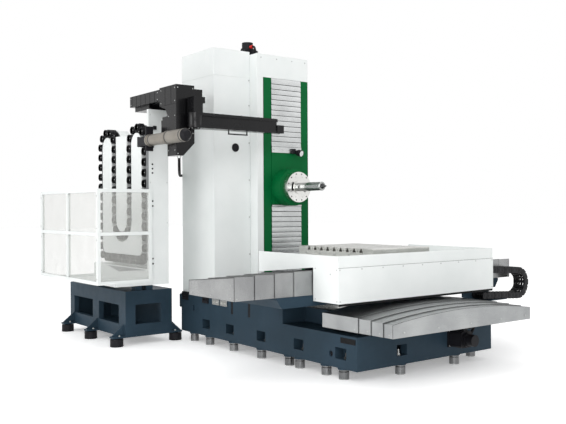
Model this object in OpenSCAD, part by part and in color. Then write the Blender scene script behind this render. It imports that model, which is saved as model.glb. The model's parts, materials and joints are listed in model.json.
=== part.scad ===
// Horizontal boring and milling machine: cross-slide bed, rotary table,
// column with a sliding spindle head, and a chain tool magazine with its changer.
// X runs along the table travel, Y along the spindle axis, Z is up.
// The origin is on the floor, at the centre of the four corner foundation holes.

/* [Bed] */
// Width of the bed casting, mm
bed_w = 2064; // [1760:1:2500]
// Length of the bed casting along the spindle axis, mm
bed_len = 3428; // [3200:1:4200]
// Height of the low front part of the bed casting, mm
bed_front_h = 338; // [300:1:400]
// Height of the rear part, which carries the column, mm
bed_rear_h = 500; // [470:1:620]
// Length of the low front part, mm
bed_front_len = 1204; // [1000:1:1400]
// Height of the levelling mounts, mm
mount_h = 114; // [80:1:140]
// Diameter of the levelling mounts, mm
mount_d = 107; // [80:1:130]
// Radius of the foundation hole in each mount, mm
foundation_r = 13; // [8:0.5:16]

/* [Guideways] */
// Distance between the two bed guideways, mm
z_way_span = 1240; // [1000:1:1400]
// Distance between the two saddle guideways, mm
x_way_span = 460; // [400:1:540]
// Width of a linear rail, mm
rail_w = 55; // [45:1:65]
// Height of a linear rail, mm
rail_h = 50; // [40:1:60]
// Diameter of the ball screws, mm
screw_d = 63; // [50:1:80]

/* [Saddle and table] */
// How far the saddle stands in front of the bed's middle, mm
saddle_y = 787; // [700:1:850]
// Reach of the saddle to the left, mm
saddle_left = 1645; // [1500:1:1800]
// Reach of the saddle to the right, mm
saddle_right = 1800; // [1600:1:1950]
// Thickness of the saddle wings, mm
saddle_wing_t = 110; // [80:1:110]
// Table size along X, mm
table_w = 876; // [800:1:1050]
// Table size along Y, mm
table_d = 1260; // [1100:1:1400]
// Height of the table face above the floor, mm
table_top = 1280; // [1260:1:1340]
// Number of T-slots
slot_count = 9; // [5:1:11]
// Distance between T-slots, mm
slot_pitch = 111; // [90:1:125]
// Width of a T-slot's throat, mm
slot_w = 28; // [18:1:36]

/* [Covers] */
// Reach of the left telescopic cover, mm
x_cover_left = 2131; // [2050:1:2300]
// Reach of the right telescopic cover, mm
x_cover_right = 2055; // [2050:1:2300]
// Width of the middle section of the X covers, mm
x_cover_w = 860; // [820:1:900]
// Height of the X covers' side walls, mm
x_cover_h = 184; // [170:1:215]
// Half-width of the widest front cover section, mm
z_cover_half = 1066; // [1050:1:1300]
// Thickness of the cover sheet, mm
sheet = 3; // [2:0.5:4]
// Gap between one cover section and the next, mm
nest_gap = 3; // [2:0.5:4]
// Width of the table guard, mm
guard_w = 2380; // [2300:1:2600]
// Front of the table guard, measured from the bed's middle, mm
guard_front = 1620; // [1560:1:1700]

/* [Column] */
// Top of the column above the floor, mm
column_top = 3708; // [3600:1:4000]
// Right side of the column, mm
column_right = 368; // [350:1:420]
// Left side of the column's front part, mm
column_left = 463; // [430:1:520]
// Left side of the wide housing, mm
housing_left = 1012; // [900:1:1030]
// Depth of the column behind its front panel, mm
column_d = 952; // [900:1:955]
// Half-width of the opening for the spindle head, mm
head_half = 242; // [220:1:260]
// Height of the spindle axis above the floor in the shown position, mm
spindle_z = 1995; // [1900:1:2200]
// Diameter of the boring bar, mm
bar_d = 110; // [80:1:130]
// How far the boring bar stands out of the spindle face, mm
bar_out = 467; // [300:1:500]
// Diameter of the milling sleeve's face, mm
flange_d = 390; // [300:1:400]

/* [Tool magazine] */
// Height of the magazine above the floor, mm
magazine_top = 2950; // [2850:1:2980]
// Number of tool pots on the chain
pot_count = 60; // [40:1:60]
// Diameter of a tool pot, mm
pot_d = 112; // [80:1:115]
// Length of a tool pot, mm
pot_len = 90; // [60:1:120]

/* [Hidden] */

$fn = 48;
slide_gap = 0.3;
rim = 0.01;

slate = "#37434F";
green = "#00683A";
white = "#E6E8E6";
steel = "#B4B4B2";
black = "#202024";

// Heights of the bed
bed_under = mount_h;
bed_front_top = bed_under + bed_front_h;
way_top = bed_under + bed_rear_h;
bed_half = bed_w / 2;
bed_front = -bed_len / 2;
bed_rear = bed_len / 2;
rear_start = bed_front + bed_front_len;
way_half = 100;
z_way_x = z_way_span / 2;
z_way_front = bed_front + 54;
z_way_rear = 560;
trough_half = z_way_x - way_half - 40;

// Foundation pattern: the four corner mounts
corner_x = 980;
corner_y = 1460;
side_mount_y = [-corner_y, -1190, -750, -40, 540, 1080, corner_y];
front_mount_x = [-360, 480];
pocket_y = [-1470, -790, -100, 550, 1095];
pocket_w = 170;
pocket_h = 115;
pocket_z = bed_under + 91;
pocket_depth = 110;
boss_h = 14;

// Saddle
block_h = rail_h + 30;
runner_half = 51;
saddle_under = way_top + block_h;
saddle_top = 840;
wing_under = saddle_top - saddle_wing_t;
saddle_half = x_cover_w / 2 + 2 * (sheet + nest_gap) + 2;
saddle_front = -saddle_y - saddle_half;
saddle_rear = -saddle_y + saddle_half;
body_half = 760;

// Ball screws
z_screw_x = trough_half - 100;
z_screw_z = 310;
screw_clear = 0.05;
x_screw_z = saddle_top + 80;
y_screw_x = -115;
y_screw_y = 1470;

// Table
slide_under = saddle_top + block_h;
slide_top = 1040;
slide_half = 590;
table_y = -695;
table_under = 1142;
deck_z = 1131;
guard_top = 1250;
guard_under = 781;
guard_rim_low = 1062;
guard_rear = -288;
guard_half = guard_w / 2;

// Column
panel_y = 755;
housing_y = 918;
column_rear = panel_y + column_d;
casting_y = 880;
opening_low = way_top + 60;
opening_high = 3410;
head_low = spindle_z - 225;
head_high = spindle_z + 452;
trim_h = 76;
apron_gap = 20;
flange_y = 488;
flange_t = 90;
tip_y = flange_y - bar_out;
y_rail_x = 300;

// ---------------------------------------------------------------- helpers

module box(x0, x1, y0, y1, z0, z1)
    translate([x0, y0, z0]) cube([x1 - x0, y1 - y0, z1 - z0]);

// A round bar along +Y
module bar_y(x, y0, y1, z, d, fn = 64)
    translate([x, y0, z]) rotate([-90, 0, 0]) cylinder(d = d, h = y1 - y0, $fn = fn);

// A round bar along +X
module bar_x(x0, x1, y, z, d, fn = 64)
    translate([x0, y, z]) rotate([0, 90, 0]) cylinder(d = d, h = x1 - x0, $fn = fn);

// An outline in XZ carried along +Y
module along_y(y0, y1)
    translate([0, y1, 0]) rotate([90, 0, 0]) linear_extrude(height = y1 - y0) children();

// An outline in YZ carried along +X
module along_x(x0, x1)
    translate([x0, 0, 0]) rotate([90, 0, 90]) linear_extrude(height = x1 - x0) children();

// Section of a linear rail: a waist between a foot and a wider head
module rail_outline()
    polygon([
        [-rail_w / 2, 0], [rail_w / 2, 0], [rail_w / 2, rail_h * 0.35],
        [rail_w * 0.36, rail_h * 0.5], [rail_w * 0.36, rail_h * 0.72], [rail_w / 2, rail_h * 0.86],
        [rail_w / 2, rail_h], [-rail_w / 2, rail_h], [-rail_w / 2, rail_h * 0.86],
        [-rail_w * 0.36, rail_h * 0.72], [-rail_w * 0.36, rail_h * 0.5], [-rail_w / 2, rail_h * 0.35]
    ]);

// Section of a runner block that straddles a rail
module runner_outline(under = 14)
    difference() {
        translate([-runner_half, under]) square([2 * runner_half, block_h - under]);
        translate([-rail_w / 2 - slide_gap, under - 1])
            square([rail_w + 2 * slide_gap, rail_h - under + 1 + slide_gap]);
    }

// ---------------------------------------------------------------- bed

module side_pocket(y)
    for (side = [-1, 1])
        translate([side * (bed_half - pocket_depth / 2), y, pocket_z + pocket_h / 2])
            cube([pocket_depth + 2 * rim, pocket_w, pocket_h], center = true);

module bed() {
    color(slate)
    difference() {
        union() {
            box(-bed_half, bed_half, bed_front, bed_rear, bed_under, bed_front_top);
            box(-bed_half, bed_half, rear_start, bed_rear, bed_under, way_top);
            for (side = [-1, 1])
                box(side * z_way_x - way_half, side * z_way_x + way_half,
                    z_way_front, z_way_rear, bed_under, way_top);
            for (p = mount_places())
                translate([p[0], p[1], bed_under - boss_h])
                    cylinder(d = mount_d + 20, h = boss_h + 1, $fn = 48);
            // Lifting lugs at the rear corners
            for (side = [-1, 1])
                box(side * (bed_half - 36) - 36, side * (bed_half - 36) + 36, bed_rear - 1, bed_rear + 51, 420, 594);
        }
        // Open trough between the ways, with the screw along it
        box(-trough_half, trough_half, bed_front + 90, z_way_rear, bed_under + 90, way_top + 1);
        bar_y(z_screw_x, bed_front - 1, bed_front + 91, z_screw_z, screw_d + 2 * screw_clear);
        bar_y(z_screw_x, z_way_rear - 1, z_way_rear + 90, z_screw_z, screw_d + 2 * screw_clear);
        // Ribbed cells on the underside
        for (ix = [-1, 0, 1], iy = [0 : 4])
            translate([ix * 560, bed_front + 494 + iy * 610, bed_under - boss_h - 1])
                linear_extrude(height = boss_h + (iy == 4 ? bed_rear_h - 90 : 71)) square([460, 500], center = true);
        // Bolt pockets in the side faces and the front face
        for (y = pocket_y) side_pocket(y);
        translate([-410, bed_front + pocket_depth / 2 - rim, pocket_z + pocket_h / 2])
            cube([146, pocket_depth + 2 * rim, pocket_h], center = true);
        // Vertical grooves, a small slot, a round hole and a lifting slot
        for (side = [-1, 1]) {
            for (y = [138, 500])
                translate([side * (bed_half - 12), y, way_top - 82]) cube([26, 48, 166], center = true);
            translate([side * (bed_half - 12), 1403, way_top - 178]) cube([26, 40, 72], center = true);
            translate([side * (bed_half - 20), -1582, bed_under + 286]) cube([42, 222, 56], center = true);
            translate([side * (bed_half - 20), -1320, bed_under + 128])
                rotate([0, 90, 0]) cylinder(d = 62, h = 42, center = true, $fn = 32);
        }
    }
}

function mount_places() = concat(
    [for (side = [-1, 1], y = side_mount_y) [side * corner_x, y]],
    [for (x = front_mount_x) [x, bed_front + 74]],
    [for (x = [-500, 500]) [x, bed_rear - 74]]
);

module levelling_mounts() {
    color(steel)
    for (p = mount_places())
        translate([p[0], p[1], 0])
            difference() {
                union() {
                    cylinder(d = mount_d, h = mount_h - boss_h - 24, $fn = 48);
                    cylinder(d = mount_d * 0.72, h = mount_h - boss_h - 10, $fn = 48);
                    cylinder(d = mount_d * 0.94, h = 12, $fn = 48);
                    translate([0, 0, mount_h - boss_h - 14]) cylinder(d = mount_d, h = 14, $fn = 48);
                }
                translate([0, 0, -1]) cylinder(r = foundation_r, h = 61, $fn = 48);
            }
    // Wide feet under the tool magazine's stand
    color(black)
    for (p = stand_feet)
        translate([p[0], p[1], 0]) {
            cylinder(d = 165, h = stand_under - 10, $fn = 48);
            cylinder(d = 80, h = stand_under, $fn = 48);
        }
}

module z_rails() {
    color(steel)
    for (side = [-1, 1])
        translate([side * z_way_x, 0, way_top])
            along_y(z_way_front + 20, z_way_rear - 20) rail_outline();
}

module z_ballscrew() {
    color(steel) {
        bar_y(z_screw_x, bed_front + 4, z_way_rear + 80, z_screw_z, screw_d);
        bar_y(z_screw_x, bed_front + 120, bed_front + 150, z_screw_z, screw_d + 40);
    }
}

module servo_body(d, len) {
    // A square servo housing on its flange, with a round encoder cap and a plug
    translate([-d / 2, -d / 2, 0]) cube([d, d, 18]);
    linear_extrude(height = len * 0.62)
        intersection() {
            square(d * 0.92, center = true);
            rotate(45) square(d * 1.16, center = true);
        }
    cylinder(d = d * 0.8, h = len * 0.72, $fn = 32);
    translate([0, 0, len * 0.7]) cylinder(d = d * 0.66, h = len * 0.3, $fn = 32);
    translate([-d * 0.16, d * 0.4, len * 0.42]) cube([d * 0.32, d * 0.3, len * 0.16]);
}

module z_drive_motor() {
    color(black)
    translate([z_screw_x, bed_front, z_screw_z]) rotate([90, 0, 0]) servo_body(190, 300);
}

// ---------------------------------------------------------------- column

module column_casting() {
    color(slate)
    difference() {
        box(-column_left + 40, column_right - 5, casting_y, column_rear - 20, way_top, opening_high - 1);
        // Room for the head, open to the front
        box(-head_half, head_half, casting_y - 1, y_screw_y + 110, opening_low, opening_high + 21);
    }
    color(slate)
    translate([y_screw_x, y_screw_y, opening_low])
        difference() {
            translate([-75, -75, 0]) cube([150, 150, 90]);
            translate([0, 0, -1]) cylinder(d = screw_d + 2 * screw_clear, h = 92, $fn = 64);
        }
}

module column_housing() {
    color(white)
    difference() {
        box(-housing_left, -column_left - 0.3, housing_y, column_rear, way_top, column_top + 37);
        box(-housing_left + 4, -column_left - 4.3, housing_y + 4, column_rear - 4, way_top - 1, column_top + 33);
        // Joint lines of the upper hood and the tall side panel
        box(-housing_left - 1, -column_left, housing_y - 1, housing_y + 2, opening_high - 12, opening_high - 8);
        box(-housing_left - 1, -housing_left + 2, housing_y - 1, column_rear + 1, opening_high - 12, opening_high - 8);
        translate([-689, housing_y + 2, 2500]) rotate([90, 0, 0]) cylinder(d = 110, h = 6, center = true, $fn = 48);
    }
}

module column_shroud() {
    // Painted sheet round the front part of the column
    color(white)
    difference() {
        box(-column_left, column_right, panel_y, column_rear, way_top, opening_high);
        box(-column_left + 4, column_right - 4, panel_y + 4, column_rear - 4, way_top - 1, opening_high + 1);
        box(-column_right, column_right - 4, panel_y - 1, panel_y + 5, way_top - 1, opening_high + 1);
    }
}

module column_hood() {
    color(white)
    difference() {
        box(-column_left, column_right, panel_y, column_rear, opening_high + 0.3, column_top);
        box(-column_left + 4, column_right - 4, panel_y + 4, column_rear - 4, opening_high - 1, column_top - 4);
        translate([y_screw_x, y_screw_y, column_top - 5]) cylinder(d = screw_d + 60, h = 6, $fn = 48);
    }
}

module front_frame() {
    // Two painted guide plates that stand either side of the head
    color(green)
    for (side = [-1, 1])
        difference() {
            box(min(side * (head_half + 2), side * (column_right - 4.5)),
                max(side * (head_half + 2), side * (column_right - 4.5)),
                panel_y, panel_y + 6, way_top, opening_high);
            for (z = [way_top + 120 : 420 : opening_high - 60])
                translate([side * (column_right - 22), panel_y - 1, z])
                    rotate([-90, 0, 0]) cylinder(d = 12, h = 4, $fn = 24);
        }
    // Return flanges back to the casting
    color(green)
    for (side = [-1, 1])
        box(side * (column_right - 8.5) - 4, side * (column_right - 8.5) + 4,
            panel_y + 5, casting_y, way_top, opening_high);
}

module y_rails() {
    color(steel)
    for (side = [-1, 1])
        translate([side * y_rail_x, casting_y, 0]) rotate([0, 0, 180])
            translate([0, 0, opening_low]) linear_extrude(height = opening_high - opening_low - 20)
                rail_outline();
}

module y_ballscrew() {
    color(steel)
    translate([y_screw_x, y_screw_y, opening_low + 4]) {
        cylinder(d = screw_d, h = column_top - opening_low - 8, $fn = 64);
        translate([0, 0, 90]) cylinder(d = screw_d + 40, h = 30, $fn = 48);
    }
}

module y_drive_motor() {
    color(black)
    translate([y_screw_x, y_screw_y, column_top]) rotate([0, 0, 180]) servo_body(230, 290);
}

// A lamella apron between two heights: each plate laps over the next
module apron(z0, z1, count) {
    pitch = (z1 - z0) / count;
    proud = 12;
    back = panel_y + 2;
    color(steel)
    along_x(-head_half - 1.7, head_half + 1.7)
        polygon(concat(
            [for (i = [0 : count - 1], e = [0, 1])
                e == 0 ? [panel_y - proud, z0 + i * pitch] : [panel_y - 3, z0 + (i + 1) * pitch - 1]],
            [[back, z1 - 1], [back, z0]]
        ));
}

module upper_apron() apron(head_high + trim_h + 1, opening_high - 2, 13);

module lower_apron() apron(way_top + 62, head_low - apron_gap, 16);

// ---------------------------------------------------------------- telescopic covers

// Arched section over the bed ways; steps count how far it nests inside the widest one
function arch_top(half, eaves, crown) =
    [for (i = [0 : 12]) let (u = 1 - i / 6) [half * u, eaves + (crown - eaves) * (1 - u * u)]];

module arch_shell(half, low, eaves, crown, t)
    difference() {
        polygon(concat([[-half, low], [half, low]], arch_top(half, eaves, crown)));
        polygon(concat([[-half + t, low - 1], [half - t, low - 1]], arch_top(half - t, eaves - t, crown - t)));
    }

module way_plate_outline(half, low, eaves, crown)
    // Back wall of a section, cut out round the ways, the rails and the screw trough
    difference() {
        polygon(concat([[-half, low], [half, low]], arch_top(half, eaves, crown)));
        translate([-z_way_x - way_half - 6, low - 1])
            square([2 * (z_way_x + way_half + 6), way_top + slide_gap - low + 1]);
        for (side = [-1, 1])
            translate([side * z_way_x - rail_w / 2 - 8, way_top - 1]) square([rail_w + 16, rail_h + 9]);
        translate([-trough_half, low - 1]) square([2 * trough_half, rail_h + way_top - low + 9]);
    }

z_cover_low = 507;
z_eaves = 652;
z_crown = 724;

module z_cover(y0, y1, steps, plate_y, closed = false) {
    inset = steps * (sheet + nest_gap);
    half = z_cover_half - inset;
    color(steel) {
        along_y(y0, y1) arch_shell(half, z_cover_low, z_eaves - inset, z_crown - inset, sheet);
        along_y(plate_y, plate_y + sheet)
            way_plate_outline(half - 1, z_cover_low + 40, z_eaves - inset - 1, z_crown - inset - 1);
        if (closed)
            along_y(y0, y0 + sheet)
                polygon(concat([[-half, z_cover_low], [half, z_cover_low]],
                    arch_top(half, z_eaves - inset, z_crown - inset)));
    }
}

// Front edges of the four sections, from the closed end to the saddle
z_front_edges = [-2220, -2100, -1940, -1769];
z_front_len = [590, 600, 590, saddle_front + 1769];

module z_cover_front(i) {
    y0 = z_front_edges[i - 1];
    y1 = y0 + z_front_len[i - 1];
    z_cover(y0, y1, 4 - i, y1 - sheet, i == 1);
}

module z_cover_front_1() z_cover_front(1);
module z_cover_front_2() z_cover_front(2);
module z_cover_front_3() z_cover_front(3);
module z_cover_front_4() z_cover_front(4);

// Rear covers run from the saddle to the column, on the flat top of the bed
rear_half = 760;
rear_len = 560;
rear_eaves = way_top + rail_h + 16;
rear_crown = rear_eaves + 36;
rear_fixed = panel_y - 15 - rear_len;
rear_start_y = [rear_fixed, (rear_fixed + saddle_rear) / 2, saddle_rear];

module z_cover_rear(i) {
    y0 = rear_start_y[i - 1];
    inset = (i - 1) * (sheet + nest_gap) - 2 * (sheet + nest_gap);
    color(steel)
    along_y(y0, y0 + rear_len)
        arch_shell(rear_half + inset, way_top + (i == 1 ? 0 : slide_gap), rear_eaves + inset, rear_crown + inset, sheet);
}

module z_cover_rear_1() z_cover_rear(1);
module z_cover_rear_2() z_cover_rear(2);
module z_cover_rear_3() z_cover_rear(3);

// Side X covers: section 1 is closed and fixed at the far end, section 5 moves with the table
x_section_len = 560;
x_inner_edge = guard_half + 5;
end_inset = 2 * (sheet + nest_gap);
x_ridge = 8;

module x_cover_solid(half, h)
    polygon([[-half, 0], [half, 0], [half, h], [0, h + x_ridge], [-half, h]]);

module x_cover_outline(half, h, t)
    difference() {
        x_cover_solid(half, h);
        polygon([[-half + t, -1], [half - t, -1], [half - t, h - t], [0, h + x_ridge - t], [-half + t, h - t]]);
    }

module x_cover(i, reach, side) {
    inset = (i - 3) * (sheet + nest_gap);
    far = reach - (i - 1) * (reach - x_inner_edge) / 4;
    near = i == 5 ? slide_half : far - x_section_len;
    x0 = side < 0 ? -far : near;
    x1 = side < 0 ? -near : far;
    lift = i == 1 ? 0 : slide_gap;
    color(steel)
    translate([0, -saddle_y, saddle_top + lift]) {
        along_x(x0, x1) x_cover_outline(x_cover_w / 2 + inset, x_cover_h + inset, sheet);
        if (i == 1)
            along_x(side < 0 ? x0 : x1 - sheet, side < 0 ? x0 + sheet : x1)
                x_cover_solid(x_cover_w / 2 + inset, x_cover_h + inset);
    }
}

module x_cover_left_1() x_cover(1, x_cover_left, -1);
module x_cover_left_2() x_cover(2, x_cover_left, -1);
module x_cover_left_3() x_cover(3, x_cover_left, -1);
module x_cover_left_4() x_cover(4, x_cover_left, -1);
module x_cover_left_5() x_cover(5, x_cover_left, -1);
module x_cover_right_1() x_cover(1, x_cover_right, 1);
module x_cover_right_2() x_cover(2, x_cover_right, 1);
module x_cover_right_3() x_cover(3, x_cover_right, 1);
module x_cover_right_4() x_cover(4, x_cover_right, 1);
module x_cover_right_5() x_cover(5, x_cover_right, 1);

// ---------------------------------------------------------------- saddle

module saddle() {
    tip = 22;
    lug_half = 70;
    color(slate)
    difference() {
        union() {
            along_y(saddle_front, saddle_rear)
                polygon([
                    [-saddle_left, saddle_top], [-saddle_left, saddle_top - tip], [-saddle_left + 60, wing_under],
                    [-body_half - 40, wing_under], [-body_half, saddle_under], [body_half, saddle_under],
                    [body_half + 40, wing_under], [saddle_right - 60, wing_under], [saddle_right, saddle_top - tip],
                    [saddle_right, saddle_top]
                ]);
            // Nut housing for the bed's ball screw
            box(z_screw_x - lug_half, z_screw_x + lug_half, -saddle_y - 100, -saddle_y + 100,
                z_screw_z - lug_half, saddle_under + 1);
            // End bearings of the cross ball screw
            for (x = [-1560, 1560])
                box(x - 40, x + 40, -saddle_y - 70, -saddle_y + 70, saddle_top - 1, x_screw_z + 70);
            // Arm and tray that carry the lower run of the energy chain
            box(chain_x0, chain_x1 - 260, chain_y0 - 14, chain_y1 + 14, chain_low - 8, chain_low);
            along_y(chain_y1 + 2, chain_y1 + 14)
                polygon([[chain_x0, chain_low - 8], [chain_x1 - 260, chain_low - 8],
                    [chain_x0 + 260, wing_under + 10], [chain_arm_x0, wing_under + 10],
                    [chain_arm_x0, chain_low + 40]]);
            box(chain_arm_x0, chain_x0 + 260, chain_y1 + 2, saddle_front + 1, wing_under + 2, wing_under + 14);
        }
        bar_y(z_screw_x, -saddle_y - 101, -saddle_y + 101, z_screw_z, screw_d + 2 * screw_clear);
        for (x = [-1601, 1519])
            bar_x(x, x + 82, -saddle_y, x_screw_z, screw_d + 2 * screw_clear);
        // Relief pockets under the wings
        for (side = [-1, 1], k = [0, 1])
            box(side * (940 + 300 * k) - 110, side * (940 + 300 * k) + 110,
                saddle_front + 80, saddle_rear - 80, wing_under - 1, wing_under + 60);
    }
}

block_places_y = [saddle_front + 111, saddle_rear - 111];

module z_runner_blocks() {
    color(steel)
    for (side = [-1, 1], y = block_places_y)
        translate([side * z_way_x, 0, way_top])
            along_y(y - 100, y + 100) runner_outline();
}

module x_rails() {
    color(steel)
    for (side = [-1, 1])
        translate([0, -saddle_y + side * x_way_span / 2, saddle_top])
            along_x(-1590, 1590) rail_outline();
}

module x_ballscrew() {
    color(steel) {
        bar_x(-1598, 1600, -saddle_y, x_screw_z, screw_d);
        bar_x(1490, 1518, -saddle_y, x_screw_z, screw_d + 36);
    }
}

module x_drive_motor() {
    color(black)
    translate([1600, -saddle_y, x_screw_z]) rotate([0, 90, 0]) servo_body(150, 210);
}

// ---------------------------------------------------------------- table

module table_slide() {
    ring_r = 380;
    hub_r = 90;
    color(slate)
    difference() {
        union() {
            box(-slide_half, slide_half, -saddle_y - 430, -saddle_y + 430, slide_under, slide_top);
            translate([0, table_y, slide_top - 1]) cylinder(r = ring_r, h = table_under - slide_top + 1 - slide_gap, $fn = 96);
            // End plates that the last cover sections are screwed to
            for (x = [-slide_half, slide_half - 8])
                along_x(x, x + 8) intersection() {
                    translate([-saddle_y, saddle_top]) x_cover_solid(x_cover_w / 2 + end_inset, x_cover_h + end_inset);
                    translate([-2000, slide_under]) square([2000, 400]);
                }
            // Bracket for the moving end of the energy chain
            box(chain_end_x, slide_half, chain_y0, -saddle_y - 429, chain_low + chain_h, chain_low + chain_h + 12);
        }
        box(-slide_half - 1, slide_half + 1, -saddle_y - 60, -saddle_y + 60, slide_under - 1, slide_under + 50);
        translate([0, table_y, slide_top + 20]) cylinder(r = hub_r + screw_clear, h = table_under, $fn = 96);
    }
    // Nut housing of the cross ball screw
    color(slate)
    difference() {
        box(-100, 100, -saddle_y - 60, -saddle_y + 60, x_screw_z - 56, slide_under + 50);
        bar_x(-101, 101, -saddle_y, x_screw_z, screw_d + 2 * screw_clear);
    }
}

module x_runner_blocks() {
    color(steel)
    for (side = [-1, 1], x = [-440, 440])
        translate([0, -saddle_y + side * x_way_span / 2, saddle_top])
            along_x(x - 110, x + 110) runner_outline();
}

module table_guard() {
    t = 4;
    front = -guard_front;
    collar_r = 398;
    wall_end = saddle_front - 5;
    color(white)
    difference() {
        union() {
            // Upper rim: front and sides
            box(-guard_half, guard_half, front, front + t, guard_under + 8, guard_top);
            for (side = [-1, 1]) {
                box(min(side * guard_half, side * (guard_half - t)), max(side * guard_half, side * (guard_half - t)),
                    front, guard_rear, guard_rim_low, guard_top);
                box(min(side * guard_half, side * (guard_half - t)), max(side * guard_half, side * (guard_half - t)),
                    front, wall_end, guard_under, guard_rim_low + 1);
            }
            // Folded top edge, deck and rear lip
            box(-guard_half, guard_half, front, front + 30, guard_top - t, guard_top);
            box(-guard_half, guard_half, front, guard_rear, deck_z, deck_z + t);
            box(-guard_half, guard_half, guard_rear - t, guard_rear, guard_rim_low, deck_z + t);
            translate([0, table_y, slide_top]) cylinder(r = collar_r, h = deck_z + t - slide_top, $fn = 96);
        }
        translate([0, table_y, slide_top - 1]) cylinder(r = collar_r - t, h = guard_top, $fn = 96);
        // The energy chain's upper run leaves through the right wall
        box(guard_half - t - 1, guard_half + 1, chain_y0 - 12, wall_end + 1,
            chain_low + chain_h - chain_thick - 12, chain_low + chain_h + 24);
    }
}

module guard_front_plate() {
    // Removable lower plate, lapped over the rim and held by a row of screws
    color(white)
    difference() {
        box(-guard_half, guard_half, -guard_front - 4, -guard_front, guard_under, deck_z);
        for (i = [0 : 8])
            translate([-guard_half + 18 + i * (guard_w - 36) / 8, -guard_front - 5, deck_z - 17])
                rotate([-90, 0, 0]) cylinder(d = 9, h = 6, $fn = 24);
    }
}

module t_slot(y) {
    head_w = slot_w * 1.75;
    head_h = slot_w * 0.75;
    throat_h = slot_w * 0.85;
    along_x(-table_w / 2 - 1, table_w / 2 + 1)
        translate([y, table_top]) {
            translate([-slot_w / 2, -throat_h - 1]) square([slot_w, throat_h + 2]);
            translate([-head_w / 2, -throat_h - head_h]) square([head_w, head_h]);
        }
}

module rotary_table() {
    edge = 10;
    hub_r = 90;
    color(steel) {
        difference() {
            translate([0, table_y, 0])
                along_x(-table_w / 2, table_w / 2)
                    polygon([
                        [-table_d / 2, table_under + 30], [-table_d / 2 + 30, table_under],
                        [table_d / 2 - 30, table_under], [table_d / 2, table_under + 30],
                        [table_d / 2, table_top - edge], [table_d / 2 - edge, table_top],
                        [-table_d / 2 + edge, table_top], [-table_d / 2, table_top - edge]
                    ]);
            for (i = [0 : slot_count - 1])
                t_slot(table_y + (i - (slot_count - 1) / 2) * slot_pitch);
            // Tapped holes between the slots, in both end faces
            for (side = [-1, 1], i = [0 : slot_count - 2])
                translate([side * (table_w / 2 - 15), table_y + (i + 1 - slot_count / 2) * slot_pitch, table_top - 30])
                    rotate([0, 90, 0]) cylinder(d = 14, h = 32, center = true, $fn = 24);
        }
        translate([0, table_y, slide_top + 22]) cylinder(r = hub_r, h = table_under - slide_top - 21, $fn = 96);
    }
}

// ---------------------------------------------------------------- energy chain

chain_x0 = 1270;
chain_x1 = 1955;
chain_arm_x0 = 1090;
chain_end_x = 470;
chain_low = 612;
chain_thick = 78;
chain_h = 388;
chain_y0 = -1425;
chain_y1 = -1255;

module chain_band(t) {
    r_out = chain_h / 2;
    translate([chain_x1, chain_low + r_out]) {
        intersection() {
            difference() {
                circle(r = r_out - t, $fn = 64);
                circle(r = r_out - chain_thick + t, $fn = 64);
            }
            translate([0, -r_out]) square([r_out, 2 * r_out]);
        }
        translate([chain_x0 - chain_x1, -r_out + t]) square([chain_x1 - chain_x0 + 1, chain_thick - 2 * t]);
        translate([chain_end_x - chain_x1, r_out - chain_thick + t])
            square([chain_x1 - chain_end_x + 1, chain_thick - 2 * t]);
    }
}

module energy_chain() {
    link = 60;
    r_mid = chain_h / 2 - chain_thick / 2;
    turns = floor(PI * r_mid / link);
    color(black) {
        for (y = [chain_y0, chain_y1 - 14])
            along_y(y, y + 14) chain_band(0);
        // Crossbars on both faces of every link
        for (x = [chain_x0 + 30 : link : chain_x1 - 20], s = [0, 1])
            box(x, x + 30, chain_y0 + 13, chain_y1 - 13, chain_low + s * (chain_thick - 7), chain_low + 7 + s * (chain_thick - 7));
        for (x = [chain_end_x + 30 : link : chain_x1 - 20], s = [0, 1])
            box(x, x + 30, chain_y0 + 13, chain_y1 - 13,
                chain_low + chain_h - 7 - s * (chain_thick - 7), chain_low + chain_h - s * (chain_thick - 7));
        for (k = [0 : turns - 1], s = [0, 1])
            translate([chain_x1, 0, chain_low + chain_h / 2])
                rotate([0, 90 - (k + 0.5) * 180 / turns, 0])
                    box(chain_h / 2 - 7 - s * (chain_thick - 7), chain_h / 2 - s * (chain_thick - 7) - 1,
                        chain_y0 + 13, chain_y1 - 13, -15, 15);
    }
}

// ---------------------------------------------------------------- spindle head

boss_d = 2 * head_half - 6;
sleeve_d = 300;
sleeve_rear = 1000;
// Open room round the bar inside the head, behind the sleeve
bar_room = 55;

module spindle_head() {
    color(green)
    difference() {
        union() {
            box(-head_half + 1, head_half - 1, panel_y - 5, casting_y - 10, head_low, head_high);
            box(-y_rail_x - 45, y_rail_x + 45, panel_y + 8, casting_y - block_h, head_low, head_high);
            box(-head_half + 12, head_half - 12, casting_y - 11, 1380, head_low, head_high);
            bar_y(0, flange_y + flange_t + slide_gap, panel_y, spindle_z, boss_d, 96);
            translate([0, panel_y - 5, spindle_z]) rotate([90, 0, 0])
                cylinder(d1 = boss_d + 4, d2 = boss_d - 20, h = 30, $fn = 96);
            box(y_screw_x - 60, y_screw_x + 58, 1379, y_screw_y + 70, spindle_z - 120, spindle_z + 120);
        }
        bar_y(0, flange_y, sleeve_rear + 10, spindle_z, sleeve_d + 2 * screw_clear, 96);
        bar_y(0, flange_y, 1381, spindle_z, bar_d + 2 * bar_room, 96);
        translate([y_screw_x, y_screw_y, head_low - 1])
            cylinder(d = screw_d + 2 * screw_clear, h = head_high - head_low, $fn = 64);
    }
    // Trim bar that the upper apron hooks onto
    color(steel) box(-head_half, head_half, panel_y - 14, panel_y + 6, head_high, head_high + trim_h);
}

module y_runner_blocks() {
    color(steel)
    for (side = [-1, 1], z = [head_low + 20, head_high - 220])
        translate([side * y_rail_x, casting_y, z]) rotate([0, 0, 180])
            linear_extrude(height = 200) runner_outline();
}

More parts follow.
